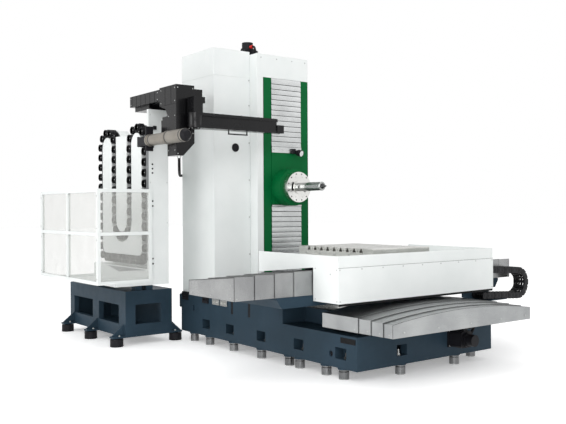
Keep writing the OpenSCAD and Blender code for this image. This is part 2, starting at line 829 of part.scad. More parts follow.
module milling_sleeve() {
    color(steel)
    difference() {
        union() {
            bar_y(0, flange_y, flange_y + flange_t, spindle_z, flange_d, 96);
            bar_y(0, flange_y + flange_t - 1, sleeve_rear, spindle_z, sleeve_d, 96);
            bar_y(0, flange_y - 12, flange_y + 1, spindle_z, bar_d + 60, 96);
        }
        bar_y(0, flange_y - 20, sleeve_rear + 1, spindle_z, bar_d + 2 * screw_clear, 96);
        // Outer bolt circle and inner screws
        for (k = [0 : 11])
            translate([0, flange_y, spindle_z]) rotate([0, k * 30 + 15, 0])
                translate([flange_d / 2 - 24, -1, 0]) rotate([-90, 0, 0]) cylinder(d = 18, h = 42, $fn = 32);
        for (k = [0 : 7])
            translate([0, flange_y, spindle_z]) rotate([0, k * 45 + 22.5, 0])
                translate([flange_d / 2 - 58, -1, 0]) rotate([-90, 0, 0]) cylinder(d = 10, h = 26, $fn = 24);
        // Two curved key recesses
        for (k = [0, 180])
            translate([0, flange_y + 16, spindle_z]) rotate([90, k + 35, 0])
                rotate_extrude(angle = 60, $fn = 96) translate([bar_d / 2 + 36, 0]) square([30, 17]);
    }
}

module boring_bar() {
    socket_d = bar_d * 0.62;
    color(steel)
    difference() {
        union() {
            bar_y(0, tip_y + 8, 1120, spindle_z, bar_d, 96);
            translate([0, tip_y + 8, spindle_z]) rotate([90, 0, 0])
                cylinder(d1 = bar_d, d2 = bar_d - 14, h = 8, $fn = 96);
        }
        // Tool socket with its two drive keys' flats
        bar_y(0, tip_y - 1, tip_y + 100, spindle_z, socket_d, 96);
        translate([-bar_d / 2 - 1, tip_y - 1, spindle_z - 10]) cube([16, 20, 20]);
        translate([bar_d / 2 - 15, tip_y - 1, spindle_z - 10]) cube([16, 20, 20]);
    }
    // Centre point seated in the socket
    color(black) {
        translate([0, tip_y + 2, spindle_z]) rotate([90, 0, 0])
            cylinder(d1 = socket_d - 8, d2 = 3, h = 84, $fn = 64);
        bar_y(0, tip_y + 1, tip_y + 100, spindle_z, socket_d, 96);
    }
}

module work_light() {
    lamp = [96, panel_y - 14, head_high + 20];
    color(black) {
        translate(lamp) translate([-28, -34, -35]) cube([56, 34 - slide_gap, 72]);
        translate(lamp) translate([0, -20, -20]) rotate([0, 90, 0]) cylinder(d = 24, h = 62, $fn = 32);
    }
    color(steel)
    translate(lamp) translate([70, -40, -15]) rotate([108, 0, 42]) {
        cylinder(d = 74, h = 110, $fn = 48);
        translate([0, 0, 109]) cylinder(d = 66, h = 12, $fn = 48);
        translate([0, 0, -24]) cylinder(d = 50, h = 25, $fn = 48);
    }
}

// ---------------------------------------------------------------- tool magazine and changer

stand_x0 = -bed_half - 843;
stand_x1 = -bed_half - 183;
stand_y0 = 1646;
stand_y1 = 3436;
stand_under = 104;
stand_top = 685;
case_x0 = -bed_half - 713;
case_x1 = -bed_half - 443;
case_y0 = 1250;
case_y1 = 2900;
case_under = 790;
case_wall = 6;
tray_x0 = -bed_half - 1162;
foot_y = [1700, 2500, 3300];
stand_feet = [for (x = [-bed_half - 939, -bed_half - 105], y = foot_y) [x, y]];

module stand_foot_lug(p) {
    side = p[0] < (stand_x0 + stand_x1) / 2 ? -1 : 1;
    face = side < 0 ? stand_x0 : stand_x1;
    end = p[0] + side * 75;
    box(min(end, face), max(end, face), p[1] - 54, p[1] + 54, stand_under, stand_under + 22);
    along_y(p[1] - 11, p[1] + 11)
        polygon([[face, stand_under + 21], [end, stand_under + 21], [end, stand_under + 24], [face, stand_under + 164]]);
}

module changer_stand() {
    wall = 70;
    plate = 60;
    color(slate)
    difference() {
        union() {
            box(stand_x0, stand_x1, stand_y0, stand_y1, stand_under, stand_top);
            for (p = stand_feet) stand_foot_lug(p);
            for (x = [stand_x0 + 150, stand_x1 - 360], y = [stand_y0 + 20, 2740])
                box(x, x + 90, y, y + 120, stand_top - 1, case_under);
        }
        box(stand_x0 + wall, stand_x1 - wall, stand_y0 + wall, stand_y1 - wall, stand_under + plate, stand_top - plate);
        // Windows: two in the outer side, one in the front end
        for (y = [[1842, 2455], [2652, 3293]])
            box(stand_x0 - 1, stand_x0 + wall + 1, y[0], y[1], 261, 501);
        box(stand_x0 + 138, stand_x1 - 159, stand_y0 - 1, stand_y0 + wall + 1, 260, 510);
    }
}

// Centre line of the chain: four upright runs joined by bends and one bottom run
run_y = [2664, 2244, 1794, 1379];
top_z = 2543;
mid_z = 1589;
low_z = 1074;
corner_r = 150;
r_left = (run_y[0] - run_y[1]) / 2;
r_mid = (run_y[1] - run_y[2]) / 2;
r_right = (run_y[2] - run_y[3]) / 2;

// Each leg is [length, start y, start z, heading in degrees, turn in degrees]; heading 90 is up
legs = [
    [top_z - low_z - corner_r, run_y[0], low_z + corner_r, 90, 0],
    [PI * r_left, run_y[0], top_z, 90, 180],
    [top_z - mid_z, run_y[1], top_z, 270, 0],
    [PI * r_mid, run_y[1], mid_z, 270, -180],
    [top_z - mid_z, run_y[2], mid_z, 90, 0],
    [PI * r_right, run_y[2], top_z, 90, 180],
    [top_z - low_z - corner_r, run_y[3], top_z, 270, 0],
    [PI / 2 * corner_r, run_y[3], low_z + corner_r, 270, 90],
    [run_y[0] - run_y[3] - 2 * corner_r, run_y[3] + corner_r, low_z, 0, 0],
    [PI / 2 * corner_r, run_y[0] - corner_r, low_z, 0, 90]
];
leg_count = len(legs);
function total(i = 0) = i >= leg_count ? 0 : legs[i][0] + total(i + 1);

// A point at a distance along one leg: y, z
function on_leg(g, s) =
    g[4] == 0
        ? [g[1] + s * cos(g[3]), g[2] + s * sin(g[3])]
        : let (
            r = g[0] / (abs(g[4]) * PI / 180),
            side = sign(g[4]),
            cy = g[1] - side * r * sin(g[3]),
            cz = g[2] + side * r * cos(g[3]),
            a = g[3] - side * 90 + side * s / r * 180 / PI
        ) [cy + r * cos(a), cz + r * sin(a)];

function on_chain(s, i = 0) =
    i >= leg_count - 1 || s < legs[i][0] ? on_leg(legs[i], s) : on_chain(s - legs[i][0], i + 1);

chain_pitch = total() / pot_count;
frame_x = case_x0 + 105;
pot_x = frame_x - 25;
link_t = 5.4;

module tool_pots() {
    color(black)
    for (k = [0 : pot_count - 1]) {
        p = on_chain(k * chain_pitch + 1);
        translate([pot_x, p[0], p[1]]) rotate([0, -90, 0])
            difference() {
                union() {
                    cylinder(d = pot_d, h = pot_len * 0.55, $fn = 48);
                    cylinder(d = pot_d * 0.88, h = pot_len, $fn = 48);
                    translate([0, 0, -14.7]) cylinder(d = 24, h = 16, $fn = 32);
                }
                translate([0, 0, pot_len * 0.25]) cylinder(d = pot_d * 0.56, h = pot_len, $fn = 48);
            }
    }
}

module link_plate(a, b) {
    mid = (a + b) / 2;
    d = b - a;
    len = norm(d);
    translate([0, mid[0], mid[1]]) rotate([atan2(d[1], d[0]), 0, 0])
        difference() {
            union() {
                translate([0, -len / 2, -22]) cube([link_t, len, 44]);
                for (e = [-1, 1])
                    translate([0, e * len / 2, 0]) rotate([0, 90, 0]) cylinder(d = 44, h = link_t, $fn = 32);
            }
            for (e = [-1, 1])
                translate([-1, e * len / 2, 0]) rotate([0, 90, 0]) cylinder(d = 24.6, h = link_t + 2, $fn = 32);
        }
}

module chain_links() {
    color("#6E7072")
    for (k = [0 : pot_count - 1]) {
        a = on_chain(k * chain_pitch + 1);
        b = on_chain(((k + 1) % pot_count) * chain_pitch + 1);
        translate([pot_x + (k % 2 == 0 ? 0.6 : 0.9 + link_t), 0, 0]) link_plate(a, b);
    }
}

// A half ring between two radii: upper or lower half
module half_ring(cy, cz, r, half_w, upper)
    translate([cy, cz])
        intersection() {
            difference() {
                circle(r = r + half_w, $fn = 96);
                circle(r = r - half_w, $fn = 96);
            }
            translate([-r - half_w, upper ? 0 : -r - half_w]) square([2 * (r + half_w), r + half_w]);
        }

module chain_guide() {
    half_w = 36;
    t = 9.7;
    color("#55585A")
    along_x(frame_x - t, frame_x) {
        for (i = [0, 3])
            translate([run_y[i] - half_w, low_z + corner_r]) square([2 * half_w, top_z - low_z - corner_r]);
        for (i = [1, 2])
            translate([run_y[i] - half_w, mid_z]) square([2 * half_w, top_z - mid_z]);
        half_ring((run_y[0] + run_y[1]) / 2, top_z, r_left, half_w, true);
        half_ring((run_y[2] + run_y[3]) / 2, top_z, r_right, half_w, true);
        half_ring((run_y[1] + run_y[2]) / 2, mid_z, r_mid, half_w, false);
        for (i = [0, 3]) {
            side = i == 0 ? -1 : 1;
            translate([run_y[i] + side * corner_r, low_z + corner_r])
                intersection() {
                    difference() {
                        circle(r = corner_r + half_w, $fn = 96);
                        circle(r = corner_r - half_w, $fn = 96);
                    }
                    translate([side > 0 ? -corner_r - half_w : 0, -corner_r - half_w])
                        square([corner_r + half_w, corner_r + half_w]);
                }
        }
        translate([run_y[3] + corner_r, low_z - half_w])
            square([run_y[0] - run_y[3] - 2 * corner_r, 2 * half_w]);
    }
    // Steel edge strip on the front post and a bent drip plate under the bottom run
    trim_x = case_x0 - 4;
    color(steel) {
        box(trim_x, case_x0, case_y0 + 2, post_y1 + wall_t, 1090, 2650);
        along_x(trim_x, case_x0) polygon([[2450, 970], [2091, 905], [1837, 930], [1340, 970]]);
    }
}

// ---- magazine frame: a sheet box whose front has a channel for the chain and its pots

channel_w = 66;
base_top = 985;
tongue_top = 2675;
post_y1 = 1295;
wall_t = 18;
tongue_y0 = run_y[2] + channel_w;
tongue_y1 = run_y[1] - channel_w;

// Outline of the chain's loop, w outside its centre line
module loop_outline(w)
    difference() {
        union() {
            translate([run_y[3] - w, low_z + corner_r])
                square([run_y[0] - run_y[3] + 2 * w, top_z - low_z - corner_r]);
            translate([run_y[3] + corner_r, low_z - w])
                square([run_y[0] - run_y[3] - 2 * corner_r, corner_r + w + 1]);
            for (y = [run_y[3] + corner_r, run_y[0] - corner_r])
                translate([y, low_z + corner_r]) circle(r = corner_r + w, $fn = 96);
            translate([(run_y[0] + run_y[1]) / 2, top_z]) circle(r = r_left + w, $fn = 96);
            translate([(run_y[2] + run_y[3]) / 2, top_z]) circle(r = r_right + w, $fn = 96);
        }
        translate([run_y[2] + w, mid_z]) square([run_y[1] - run_y[2] - 2 * w, top_z - mid_z + 400]);
        translate([(run_y[1] + run_y[2]) / 2, mid_z]) circle(r = r_mid - w, $fn = 96);
    }

module yz_rect(y0, y1, z0, z1) translate([y0, z0]) square([y1 - y0, z1 - z0]);

// Outline of the box behind the channel, drawn in by a margin
module frame_outline(margin) {
    loop_outline(38 - margin);
    yz_rect(run_y[2] - margin, run_y[1] + margin, mid_z - 200, tongue_top - margin);
    yz_rect(case_y0 + margin, case_y1 - margin, case_under + margin, base_top - margin);
    yz_rect(run_y[3] + corner_r + margin, run_y[0] - corner_r - margin, case_under + margin, low_z);
    yz_rect(case_y0 + margin, 1450 - margin, case_under + margin, magazine_top - margin);
}

module magazine_case() {
    color(white) {
        difference() {
            union() {
                along_x(frame_x, case_x1) frame_outline(0);
                // Raised front: base cabinet, post, island inside the loop and middle tongue
                box(case_x0, frame_x + 1, case_y0, case_y1, case_under, base_top);
                box(case_x0, frame_x + 1, case_y0, post_y1, case_under, magazine_top);
                box(case_x0, frame_x + 1, post_y1 - 1, post_y1 + wall_t, base_top - 1, 2660);
                along_x(case_x0, frame_x + 1) {
                    loop_outline(-channel_w);
                    yz_rect(tongue_y0, tongue_y1, mid_z, tongue_top);
                    translate([(run_y[1] + run_y[2]) / 2, mid_z]) circle(r = r_mid - channel_w, $fn = 96);
                }
            }
            along_x(frame_x + case_wall, case_x1 - case_wall) frame_outline(case_wall);
            // Joint grooves of the sheet panels
            for (z = [1500, 2240])
                box(case_x0 - 1, case_x1 + 1, case_y0 - 1, case_y0 + 2, z, z + 4);
            for (z = [1050, 1113, 1760, 1820, 2167, 2220, 2274])
                translate([case_x0 + 50, case_y0 + 1, z])
                    rotate([90, 0, 0]) cylinder(d = 24, h = 4, center = true, $fn = 24);
        }
        // Oil tray under the chain, with a raised lip
        difference() {
            box(tray_x0, case_x0 + 1, case_y0, case_y1, case_under, case_under + 40);
            box(tray_x0 + 4, case_x0, case_y0 + 4, case_y1 - 4, case_under + 4, case_under + 41);
        }
    }
}

// Fence: a side panel and a front panel of square tube with clear panes
fence_x = -bed_half - 1409;
fence_y0 = 1200;
fence_y1 = 3060;
fence_x1 = -bed_half - 698;
fence_z0 = 830;
fence_z1 = 1965;
fence_mid = 1410;
tube = 40;

module fence_frame() {
    mid_y = (fence_y0 + fence_y1) / 2;
    color(white) {
        for (y = [fence_y0, mid_y - tube / 2, fence_y1 - tube])
            box(fence_x, fence_x + tube, y, y + tube, fence_z0, fence_z1);
        for (z = [fence_z0, fence_mid, fence_z1 - tube])
            box(fence_x, fence_x + tube, fence_y0, fence_y1, z, z + tube);
        box(fence_x1 - tube, fence_x1, fence_y0, fence_y0 + tube, fence_z0, fence_z1);
        for (z = [fence_z0, fence_mid, fence_z1 - tube])
            box(fence_x, fence_x1, fence_y0, fence_y0 + tube, z, z + tube);
        // Flat brackets onto the tray's lip and the case
        for (y = [fence_y0 + 90, mid_y + 60, 2840])
            box(fence_x + tube - 1, tray_x0 + 30, y, y + 40, fence_z0, fence_z0 + 8);
        box(fence_x1 - tube - 20, fence_x1, fence_y0 + tube - 1, case_y0, fence_z0, fence_z0 + 60);
        box(fence_x1 - tube, case_x0 + 40, fence_y0 + tube - 10, case_y0, fence_mid, fence_mid + tube);
    }
}

module fence_panes() {
    mid_y = (fence_y0 + fence_y1) / 2;
    rows = [[fence_z0 + tube, fence_mid], [fence_mid + tube, fence_z1 - tube]];
    cols = [[fence_y0 + tube, mid_y - tube / 2], [mid_y + tube / 2, fence_y1 - tube]];
    color("#DCE4E6")
    for (r = rows) {
        for (c = cols) box(fence_x + 17, fence_x + 22, c[0], c[1], r[0], r[1]);
        box(fence_x + tube, fence_x1 - tube, fence_y0 + 17, fence_y0 + 22, r[0], r[1]);
    }
}

// Changer: black housing on the case, carriage, swinging arm
house_x0 = -bed_half - 750;
house_x1 = -bed_half - 507;
house_y0 = 500;
house_top = 3157;
house_low = 2337;
arm_x = -bed_half - 558;
arm_y = 400;
arm_low = 2651;
arm_high = 2826;
hub_d = 170;
pin_d = 60;

module changer_housing() {
    color(black) {
        intersection() {
            along_x(house_x0, house_x1)
                polygon([
                    [house_y0, house_low], [house_y0 + 209, house_low], [house_y0 + 209, house_low + 480],
                    [house_y0 + 260, house_low + 560], [house_y0 + 400, house_low + 600],
                    [house_y0 + 400, house_top], [house_y0, house_top]
                ]);
            along_y(house_y0 - 1, house_y0 + 401)
                polygon([
                    [house_x0 - 1, house_low - 1], [house_x0 + 92, house_low - 1], [house_x1 + 1, house_low + 150],
                    [house_x1 + 1, house_top + 1], [house_x0 - 1, house_top + 1]
                ]);
        }
        box(house_x0, house_x1, house_y0 + 399, 1680, 3006, house_top - 17);
        box(house_x1 - 1, house_x0 + 310, 1110, 1680, 3006, house_top - 17);
        // Feet that stand on the magazine case
        box(case_x0 + 14, case_x1 - 14, case_y0 + 12, 1640, magazine_top, 3007);
        // Gearbox behind the housing's lower part
        box(house_x0 + 6, house_x0 + 122, house_y0 + 208, house_y0 + 367, 2540, 2770);
        box(house_x0 + 6, house_x0 + 122, house_y0 + 208, house_y0 + 340, 2769, 2806);
    }
}

module arm_carriage() {
    plate_x = house_x1 + slide_gap;
    color(black)
    {
        box(plate_x, plate_x + 38, house_y0 + 20, 1100, arm_high + 20, house_top - 40);
        box(plate_x + 37, plate_x + 260, 750, 1100, 2860, house_top + 6);
        box(plate_x, plate_x + 38, arm_y - 75, house_y0 + 21, house_top - 220, house_top - 150);
        box(arm_x - 60, plate_x + 1, arm_y - 75, house_y0 - 20, house_top - 220, house_top - 150);
        box(arm_x - 60, arm_x + 60, arm_y - 75, arm_y + 75, arm_high + slide_gap, house_top - 150);
        translate([arm_x, arm_y, arm_low - 14]) cylinder(d = pin_d, h = arm_high - arm_low + 20, $fn = 64);
        translate([arm_x, arm_y, arm_low - 14]) cylinder(d = pin_d + 50, h = 14 - slide_gap, $fn = 64);
    }
}

module tool_arm() {
    tip_x = arm_x + 1139;
    nose_r = 40;
    web = 44;
    color(black)
    difference() {
        union() {
            translate([arm_x, arm_y, arm_low]) cylinder(d = hub_d, h = arm_high - arm_low, $fn = 96);
            // Tapered beam: two flanges and a boxed web
            for (z = [[arm_low, arm_low + 30], [arm_high - 34, arm_high]])
                translate([0, 0, z[0]]) linear_extrude(height = z[1] - z[0])
                    polygon([[arm_x, arm_y - hub_d / 2], [tip_x, arm_y - 52],
                        [tip_x, arm_y + 52], [arm_x, arm_y + hub_d / 2]]);
            box(arm_x, tip_x, arm_y - web, arm_y + web, arm_low, arm_high);
            translate([tip_x, arm_y, arm_high - 34]) cylinder(r = nose_r, h = 34, $fn = 64);
            // Gripper block with a slot between its two fingers
            box(tip_x - 1, tip_x + 100, arm_y - 60, arm_y + 60, arm_low, arm_low + 99);
            // Handle rod under the beam
            for (x = [arm_x + 440, arm_x + 700])
                translate([x, arm_y - 30, arm_low - 46]) cylinder(d = 16, h = 47, $fn = 24);
            bar_x(arm_x + 432, arm_x + 708, arm_y - 30, arm_low - 46, 16, 24);
        }
        translate([arm_x, arm_y, arm_low - 1])
            cylinder(d = pin_d + 2 * screw_clear, h = arm_high - arm_low + 2, $fn = 64);
        box(tip_x + 55, tip_x + 101, arm_y - 22, arm_y + 22, arm_low - 1, arm_low + 100);
    }
}

module transfer_cylinder() {
    x = -bed_half - 848;
    z = 2537;
    bracket_y = 964;
    color(steel) {
        bar_y(x, 120, 513, z, 148);
        bar_y(x, 512, bracket_y + 1, z, 134);
        bar_y(x, 500, 526, z, 156);
        bar_y(x, bracket_y - 30, bracket_y, z, 146);
        translate([x, 121, z]) rotate([90, 0, 0]) cylinder(d1 = 148, d2 = 90, h = 46, $fn = 64);
    }
    // Bracket and arm back onto the front of the case
    color(black) {
        box(x - 45, x + 47, bracket_y, bracket_y + 24, 2412, 2702);
        box(x - 20, x + 40, bracket_y + 23, case_y0 - 23, 2487, 2587);
        box(x - 20, case_x0 + 60, case_y0 - 24, case_y0, 2477, 2597);
        box(case_x0 + 55, case_x0 + 95, case_y0 - 30, case_y0, 2700, 2745);
    }
}

// Flexible conduit from the housing down and back to the column
cable_d = 34;
gland_x = -housing_left + 123;
gland_y = column_rear - 7;
bend_r = 140;
cable_z = 2170;
cable_from = [house_x0 + 82, house_y0 + 80];
cable_to = [-housing_left + 2, column_rear + 63];
// How far along the straight plan line, and how high above the floor
sag = [
    [0, 2337], [0, 2290], [0.009, 2250], [0.033, 2215], [0.069, 2188], [0.116, 2170], [0.189, 2157],
    [0.291, 2150], [0.422, 2148], [0.567, 2150], [0.712, 2154], [0.858, 2160], [1, 2166]
];
cable_points = concat(
    [for (p = sag) let (c = cable_from + p[0] * (cable_to - cable_from)) [c[0], c[1], p[1]]],
    [for (a = [120, 90, 60, 30]) [gland_x + bend_r * cos(a), gland_y + bend_r * sin(a), cable_z]],
    [[gland_x + bend_r, column_rear, cable_z]]
);

function unit(v) = v / norm(v);
function heading(i, n) =
    i == 0 ? [0, 0, -1] : i == n - 1 ? [0, -1, 0] : unit(cable_points[i + 1] - cable_points[i - 1]);

module changer_cable() {
    sides = 8;
    n = len(cable_points);
    rings = [
        for (i = [0 : n - 1], k = [0 : sides - 1])
            let (
                h = heading(i, n),
                u = unit(cross(h, [-0.6, 0.3, 0.74])),
                v = cross(h, u),
                a = k * 360 / sides
            ) cable_points[i] + cable_d / 2 * (cos(a) * u + sin(a) * v)
    ];
    faces = concat(
        [[for (k = [sides - 1 : -1 : 0]) k]],
        [for (i = [0 : n - 2], k = [0 : sides - 1])
            [i * sides + k, i * sides + (k + 1) % sides, (i + 1) * sides + (k + 1) % sides]],
        [for (i = [0 : n - 2], k = [0 : sides - 1])
            [i * sides + k, (i + 1) * sides + (k + 1) % sides, (i + 1) * sides + k]],
        [[for (k = [0 : sides - 1]) (n - 1) * sides + k]]
    );
    color(black) polyhedron(points = rings, faces = faces, convexity = 6);
}

bed();
levelling_mounts();
z_rails();
z_ballscrew();
z_drive_motor();
column_casting();
column_housing();
column_shroud();
column_hood();
front_frame();
y_rails();
y_ballscrew();
y_drive_motor();
upper_apron();
lower_apron();
z_cover_front_1();
z_cover_front_2();
z_cover_front_3();
z_cover_front_4();
z_cover_rear_1();
z_cover_rear_2();
z_cover_rear_3();
saddle();
z_runner_blocks();
x_rails();
x_ballscrew();
x_drive_motor();
x_cover_left_1();
x_cover_left_2();
x_cover_left_3();
x_cover_left_4();
x_cover_left_5();
x_cover_right_1();
x_cover_right_2();
x_cover_right_3();
x_cover_right_4();
x_cover_right_5();
table_slide();
x_runner_blocks();
table_guard();
guard_front_plate();
rotary_table();
energy_chain();
spindle_head();
y_runner_blocks();
milling_sleeve();
boring_bar();
work_light();
changer_stand();
magazine_case();
chain_guide();
tool_pots();
chain_links();
fence_frame();
fence_panes();
changer_housing();
transfer_cylinder();
arm_carriage();
tool_arm();
changer_cable();
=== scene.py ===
# %% [markdown]
# # Horizontal boring and milling machine
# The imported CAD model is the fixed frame. Each cell below adds one family of finishes or pieces.
# Units are metres: X along the table travel, Y along the spindle, Z up from the floor. The machine
# bores and mills large castings: the table carries the work, and the head climbs the column.

import json
import math

import bmesh
import bpy
import numpy as np
from mathutils import Matrix, Vector


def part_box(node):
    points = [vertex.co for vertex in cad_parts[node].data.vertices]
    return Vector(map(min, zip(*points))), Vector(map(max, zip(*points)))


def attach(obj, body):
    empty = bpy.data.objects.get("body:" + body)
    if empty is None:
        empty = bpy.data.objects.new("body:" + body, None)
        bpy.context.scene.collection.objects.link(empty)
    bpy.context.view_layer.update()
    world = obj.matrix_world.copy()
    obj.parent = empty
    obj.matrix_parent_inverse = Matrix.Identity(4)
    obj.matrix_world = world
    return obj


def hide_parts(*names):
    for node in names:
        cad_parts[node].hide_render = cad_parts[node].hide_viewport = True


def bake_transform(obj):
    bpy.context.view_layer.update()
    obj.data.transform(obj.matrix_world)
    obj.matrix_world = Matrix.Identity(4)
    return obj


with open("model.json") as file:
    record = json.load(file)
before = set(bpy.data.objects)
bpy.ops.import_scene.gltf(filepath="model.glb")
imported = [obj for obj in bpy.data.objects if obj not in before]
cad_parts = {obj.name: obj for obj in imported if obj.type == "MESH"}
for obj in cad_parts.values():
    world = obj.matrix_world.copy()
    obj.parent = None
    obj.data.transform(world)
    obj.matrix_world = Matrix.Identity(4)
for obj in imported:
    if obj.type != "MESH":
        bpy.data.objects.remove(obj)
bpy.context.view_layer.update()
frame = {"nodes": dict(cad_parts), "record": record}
nodes = frame["nodes"]

# The spindle's height, the table's centre line, and the outward directions most fittings face
SPINDLE_Z = 1.995
TABLE_Y = -0.695
UP = (0, 0, 1)
TO_FRONT = (0, -1, 0)
TO_LEFT = (-1, 0, 0)
HEXAGON = 6

# %% [markdown]
# ## Colour and shader helpers
# Colours are written as sRGB hex and turned to linear light once: c ≤ 0.04045 gives c / 12.92,
# otherwise ((c + 0.055) / 1.055) ^ 2.4.

# %% Colour and node helpers
def linear(hex_colour, alpha=1.0):
    """An sRGB hex colour as linear red, green, blue and alpha."""
    c = np.array([int(hex_colour[i:i + 2], 16) / 255 for i in (1, 3, 5)])
    c = np.where(c <= 0.04045, c / 12.92, ((c + 0.055) / 1.055) ** 2.4)
    return (*c.tolist(), alpha)


def add_node(tree, kind, inputs=None, **settings):
    """Adds one shader node; a value that is a socket is linked, any other value is set."""
    n = tree.nodes.new("ShaderNode" + kind)
    for key, value in settings.items():
        setattr(n, key, value)
    for key, value in (inputs or {}).items():
        socket = n.inputs[key]
        if isinstance(value, bpy.types.NodeSocket):
            tree.links.new(value, socket)
        else:
            socket.default_value = value
    return n


def new_material(name, base, rough, metal=0.0, **more):
    """A Principled material whose uniform values sit on its own sockets."""
    m = bpy.data.materials.new(name)
    m.use_nodes = True
    b = m.node_tree.nodes["Principled BSDF"]
    b.inputs["Base Color"].default_value = linear(base)
    b.inputs["Roughness"].default_value = rough
    b.inputs["Specular IOR Level"].default_value = 0.5 if metal else 0.28
    b.inputs["Metallic"].default_value = metal
    for key, value in more.items():
        b.inputs[key.replace("_", " ")].default_value = value
    m.diffuse_color = linear(base)
    return m, m.node_tree, b


def scaled(tree, sx, sy, sz):
    """Object coordinates in metres, multiplied on each axis: the pattern's real scale."""
    coords = add_node(tree, "TexCoord").outputs["Object"]
    return add_node(tree, "Mapping", {"Vector": coords, "Scale": (sx, sy, sz)}).outputs["Vector"]


def noise(tree, vector, scale, detail=3.0, rough=0.55):
    """A noise of a given scale per metre, as a value from 0 to 1."""
    inputs = {"Vector": vector, "Scale": scale, "Detail": detail, "Roughness": rough}
    return add_node(tree, "TexNoise", inputs).outputs["Fac"]


def spread(tree, value, low, high):
    """Maps a noise from about 0.3…0.7 to low…high."""
    inputs = {"Value": value, "From Min": 0.3, "From Max": 0.7, "To Min": low, "To Max": high}
    return add_node(tree, "MapRange", inputs).outputs["Result"]


def tint(tree, value, dark, light):
    """Mixes two sRGB hex colours by a 0…1 value."""
    mix = add_node(tree, "Mix", {0: value, 6: linear(dark), 7: linear(light)}, data_type="RGBA")
    return mix.outputs[2]


# %% [markdown]
# ## Finishes
# Enamel and powder coat carry a fine texture of 1 to 4 mm and a faint unevenness of colour over
# half a metre. Ground and brushed steel carry streaks that run along the grain. All patterns are
# worked out from the object's own metres, so they keep their real scale on large and small pieces.

# %% Enamels, steels, rubber and plastics
def enamel(name, base, light, rough, texture=900.0, depth=0.00006, specular=0.28):
    """Paint: a faint cloud of colour over half a metre and a fine texture of its own depth."""
    m, t, b = new_material(name, base, rough, Specular_IOR_Level=specular)
    v = scaled(t, 1, 1, 1)
    cloud = spread(t, noise(t, v, 2.2, 4.0), 0.0, 1.0)
    t.links.new(tint(t, cloud, base, light), b.inputs["Base Color"])
    t.links.new(spread(t, noise(t, v, 9.0, 5.0), rough - 0.05, rough + 0.06), b.inputs["Roughness"])
    bump = add_node(t, "Bump", {"Height": noise(t, v, texture, 2.0), "Strength": 0.35, "Distance": depth})
    t.links.new(bump.outputs["Normal"], b.inputs["Normal"])
    return m


def brushed(name, base, light, rough, along, fine=700.0, depth=0.00003):
    """Streaks along one axis: the noise is stretched forty times along the grain."""
    m, t, b = new_material(name, base, rough, 1.0)
    squeeze = {"X": (0.025, 1, 1), "Y": (1, 0.025, 1), "Z": (1, 1, 0.025)}[along]
    v = scaled(t, *squeeze)
    streak = noise(t, v, fine, 2.0, 0.6)
    broad = noise(t, scaled(t, 1, 1, 1), 3.0, 3.0)
    t.links.new(tint(t, spread(t, broad, 0.0, 1.0), base, light), b.inputs["Base Color"])
    t.links.new(spread(t, streak, rough - 0.08, rough + 0.1), b.inputs["Roughness"])
    bump = add_node(t, "Bump", {"Height": streak, "Strength": 0.3, "Distance": depth})
    t.links.new(bump.outputs["Normal"], b.inputs["Normal"])
    return m


# Each line names the real finish: two colours it drifts between, its roughness, then its texture
MAT = {
    "slate_enamel": enamel("slate_casting_enamel", "#283843", "#2F404D", 0.46, 260.0, 0.00025,
                           specular=0.1),
    "white_coat": enamel("white_powder_coat", "#DFE3E2", "#E6E9E8", 0.45, 1100.0, 0.00005),
    "green_enamel": enamel("green_enamel", "#00572A", "#006031", 0.45, 700.0, 0.00005, specular=0.1),
    "black_gloss": enamel("black_gloss_enamel", "#08080A", "#111113", 0.24, 600.0, 0.00003, specular=0.3),
    "black_satin": enamel("black_satin_enamel", "#161619", "#1F1F23", 0.45, 600.0, 0.00008, specular=0.14),
    "ground_steel": brushed("ground_steel", "#BDBDB9", "#CFCFCB", 0.30, "X"),
    "turned_steel": brushed("turned_steel", "#DADAD7", "#EEEEEB", 0.20, "Y"),
    "bar_steel": brushed("hard_chromed_bar_steel", "#A2A4A3", "#B6B8B7", 0.17, "Y"),
    "cylinder_steel": brushed("drawn_cylinder_steel", "#8C877F", "#9A958D", 0.42, "Y"),
    "rail_steel": brushed("hardened_rail_steel", "#A9AAA8", "#BDBEBC", 0.26, "Y"),
    "cover_steel_x": brushed("brushed_cover_steel_x", "#8F9091", "#A6A7A7", 0.30, "Y", 420.0, 0.00006),
    "cover_steel_y": brushed("brushed_cover_steel_y", "#97999A", "#ABADAD", 0.34, "X", 420.0, 0.00006),
    "apron_steel": brushed("brushed_apron_steel", "#B9BBBB", "#D2D4D4", 0.26, "X", 300.0, 0.00008),
    # Oiled steel; the same finish is also painted shade in the sleeve's recess and on the bed's pocket bolts
    "dark_steel": brushed("oiled_dark_steel_and_painted_shade", "#3E3F40", "#545556", 0.34, "Z"),
    "mount_steel": brushed("blackened_mount_steel", "#6E6F70", "#8C8D8E", 0.26, "Z", 300.0),
    "guide_steel": brushed("rolled_guide_steel", "#77797A", "#85878A", 0.45, "Z", 300.0),
    "zinc": brushed("zinc_plated_steel", "#A8AAA9", "#B8BAB9", 0.36, "Z", 300.0),
}


def moulded(name, base, rough, dark, light, scale, **more):
    """A moulded part: its colour drifts between two shades over 1 / scale metres."""
    m, t, b = new_material(name, base, rough, **more)
    v = scaled(t, 1, 1, 1)
    t.links.new(tint(t, spread(t, noise(t, v, scale), 0.0, 1.0), dark, light), b.inputs["Base Color"])
    return m, t, b, v


def varied(name, base, rough, socket, scale, low, high, **more):
    """A clear or plain plastic with one socket that drifts between two values."""
    m, t, b = new_material(name, base, rough, **more)
    t.links.new(spread(t, noise(t, scaled(t, 1, 1, 1), scale), low, high), b.inputs[socket])
    return m


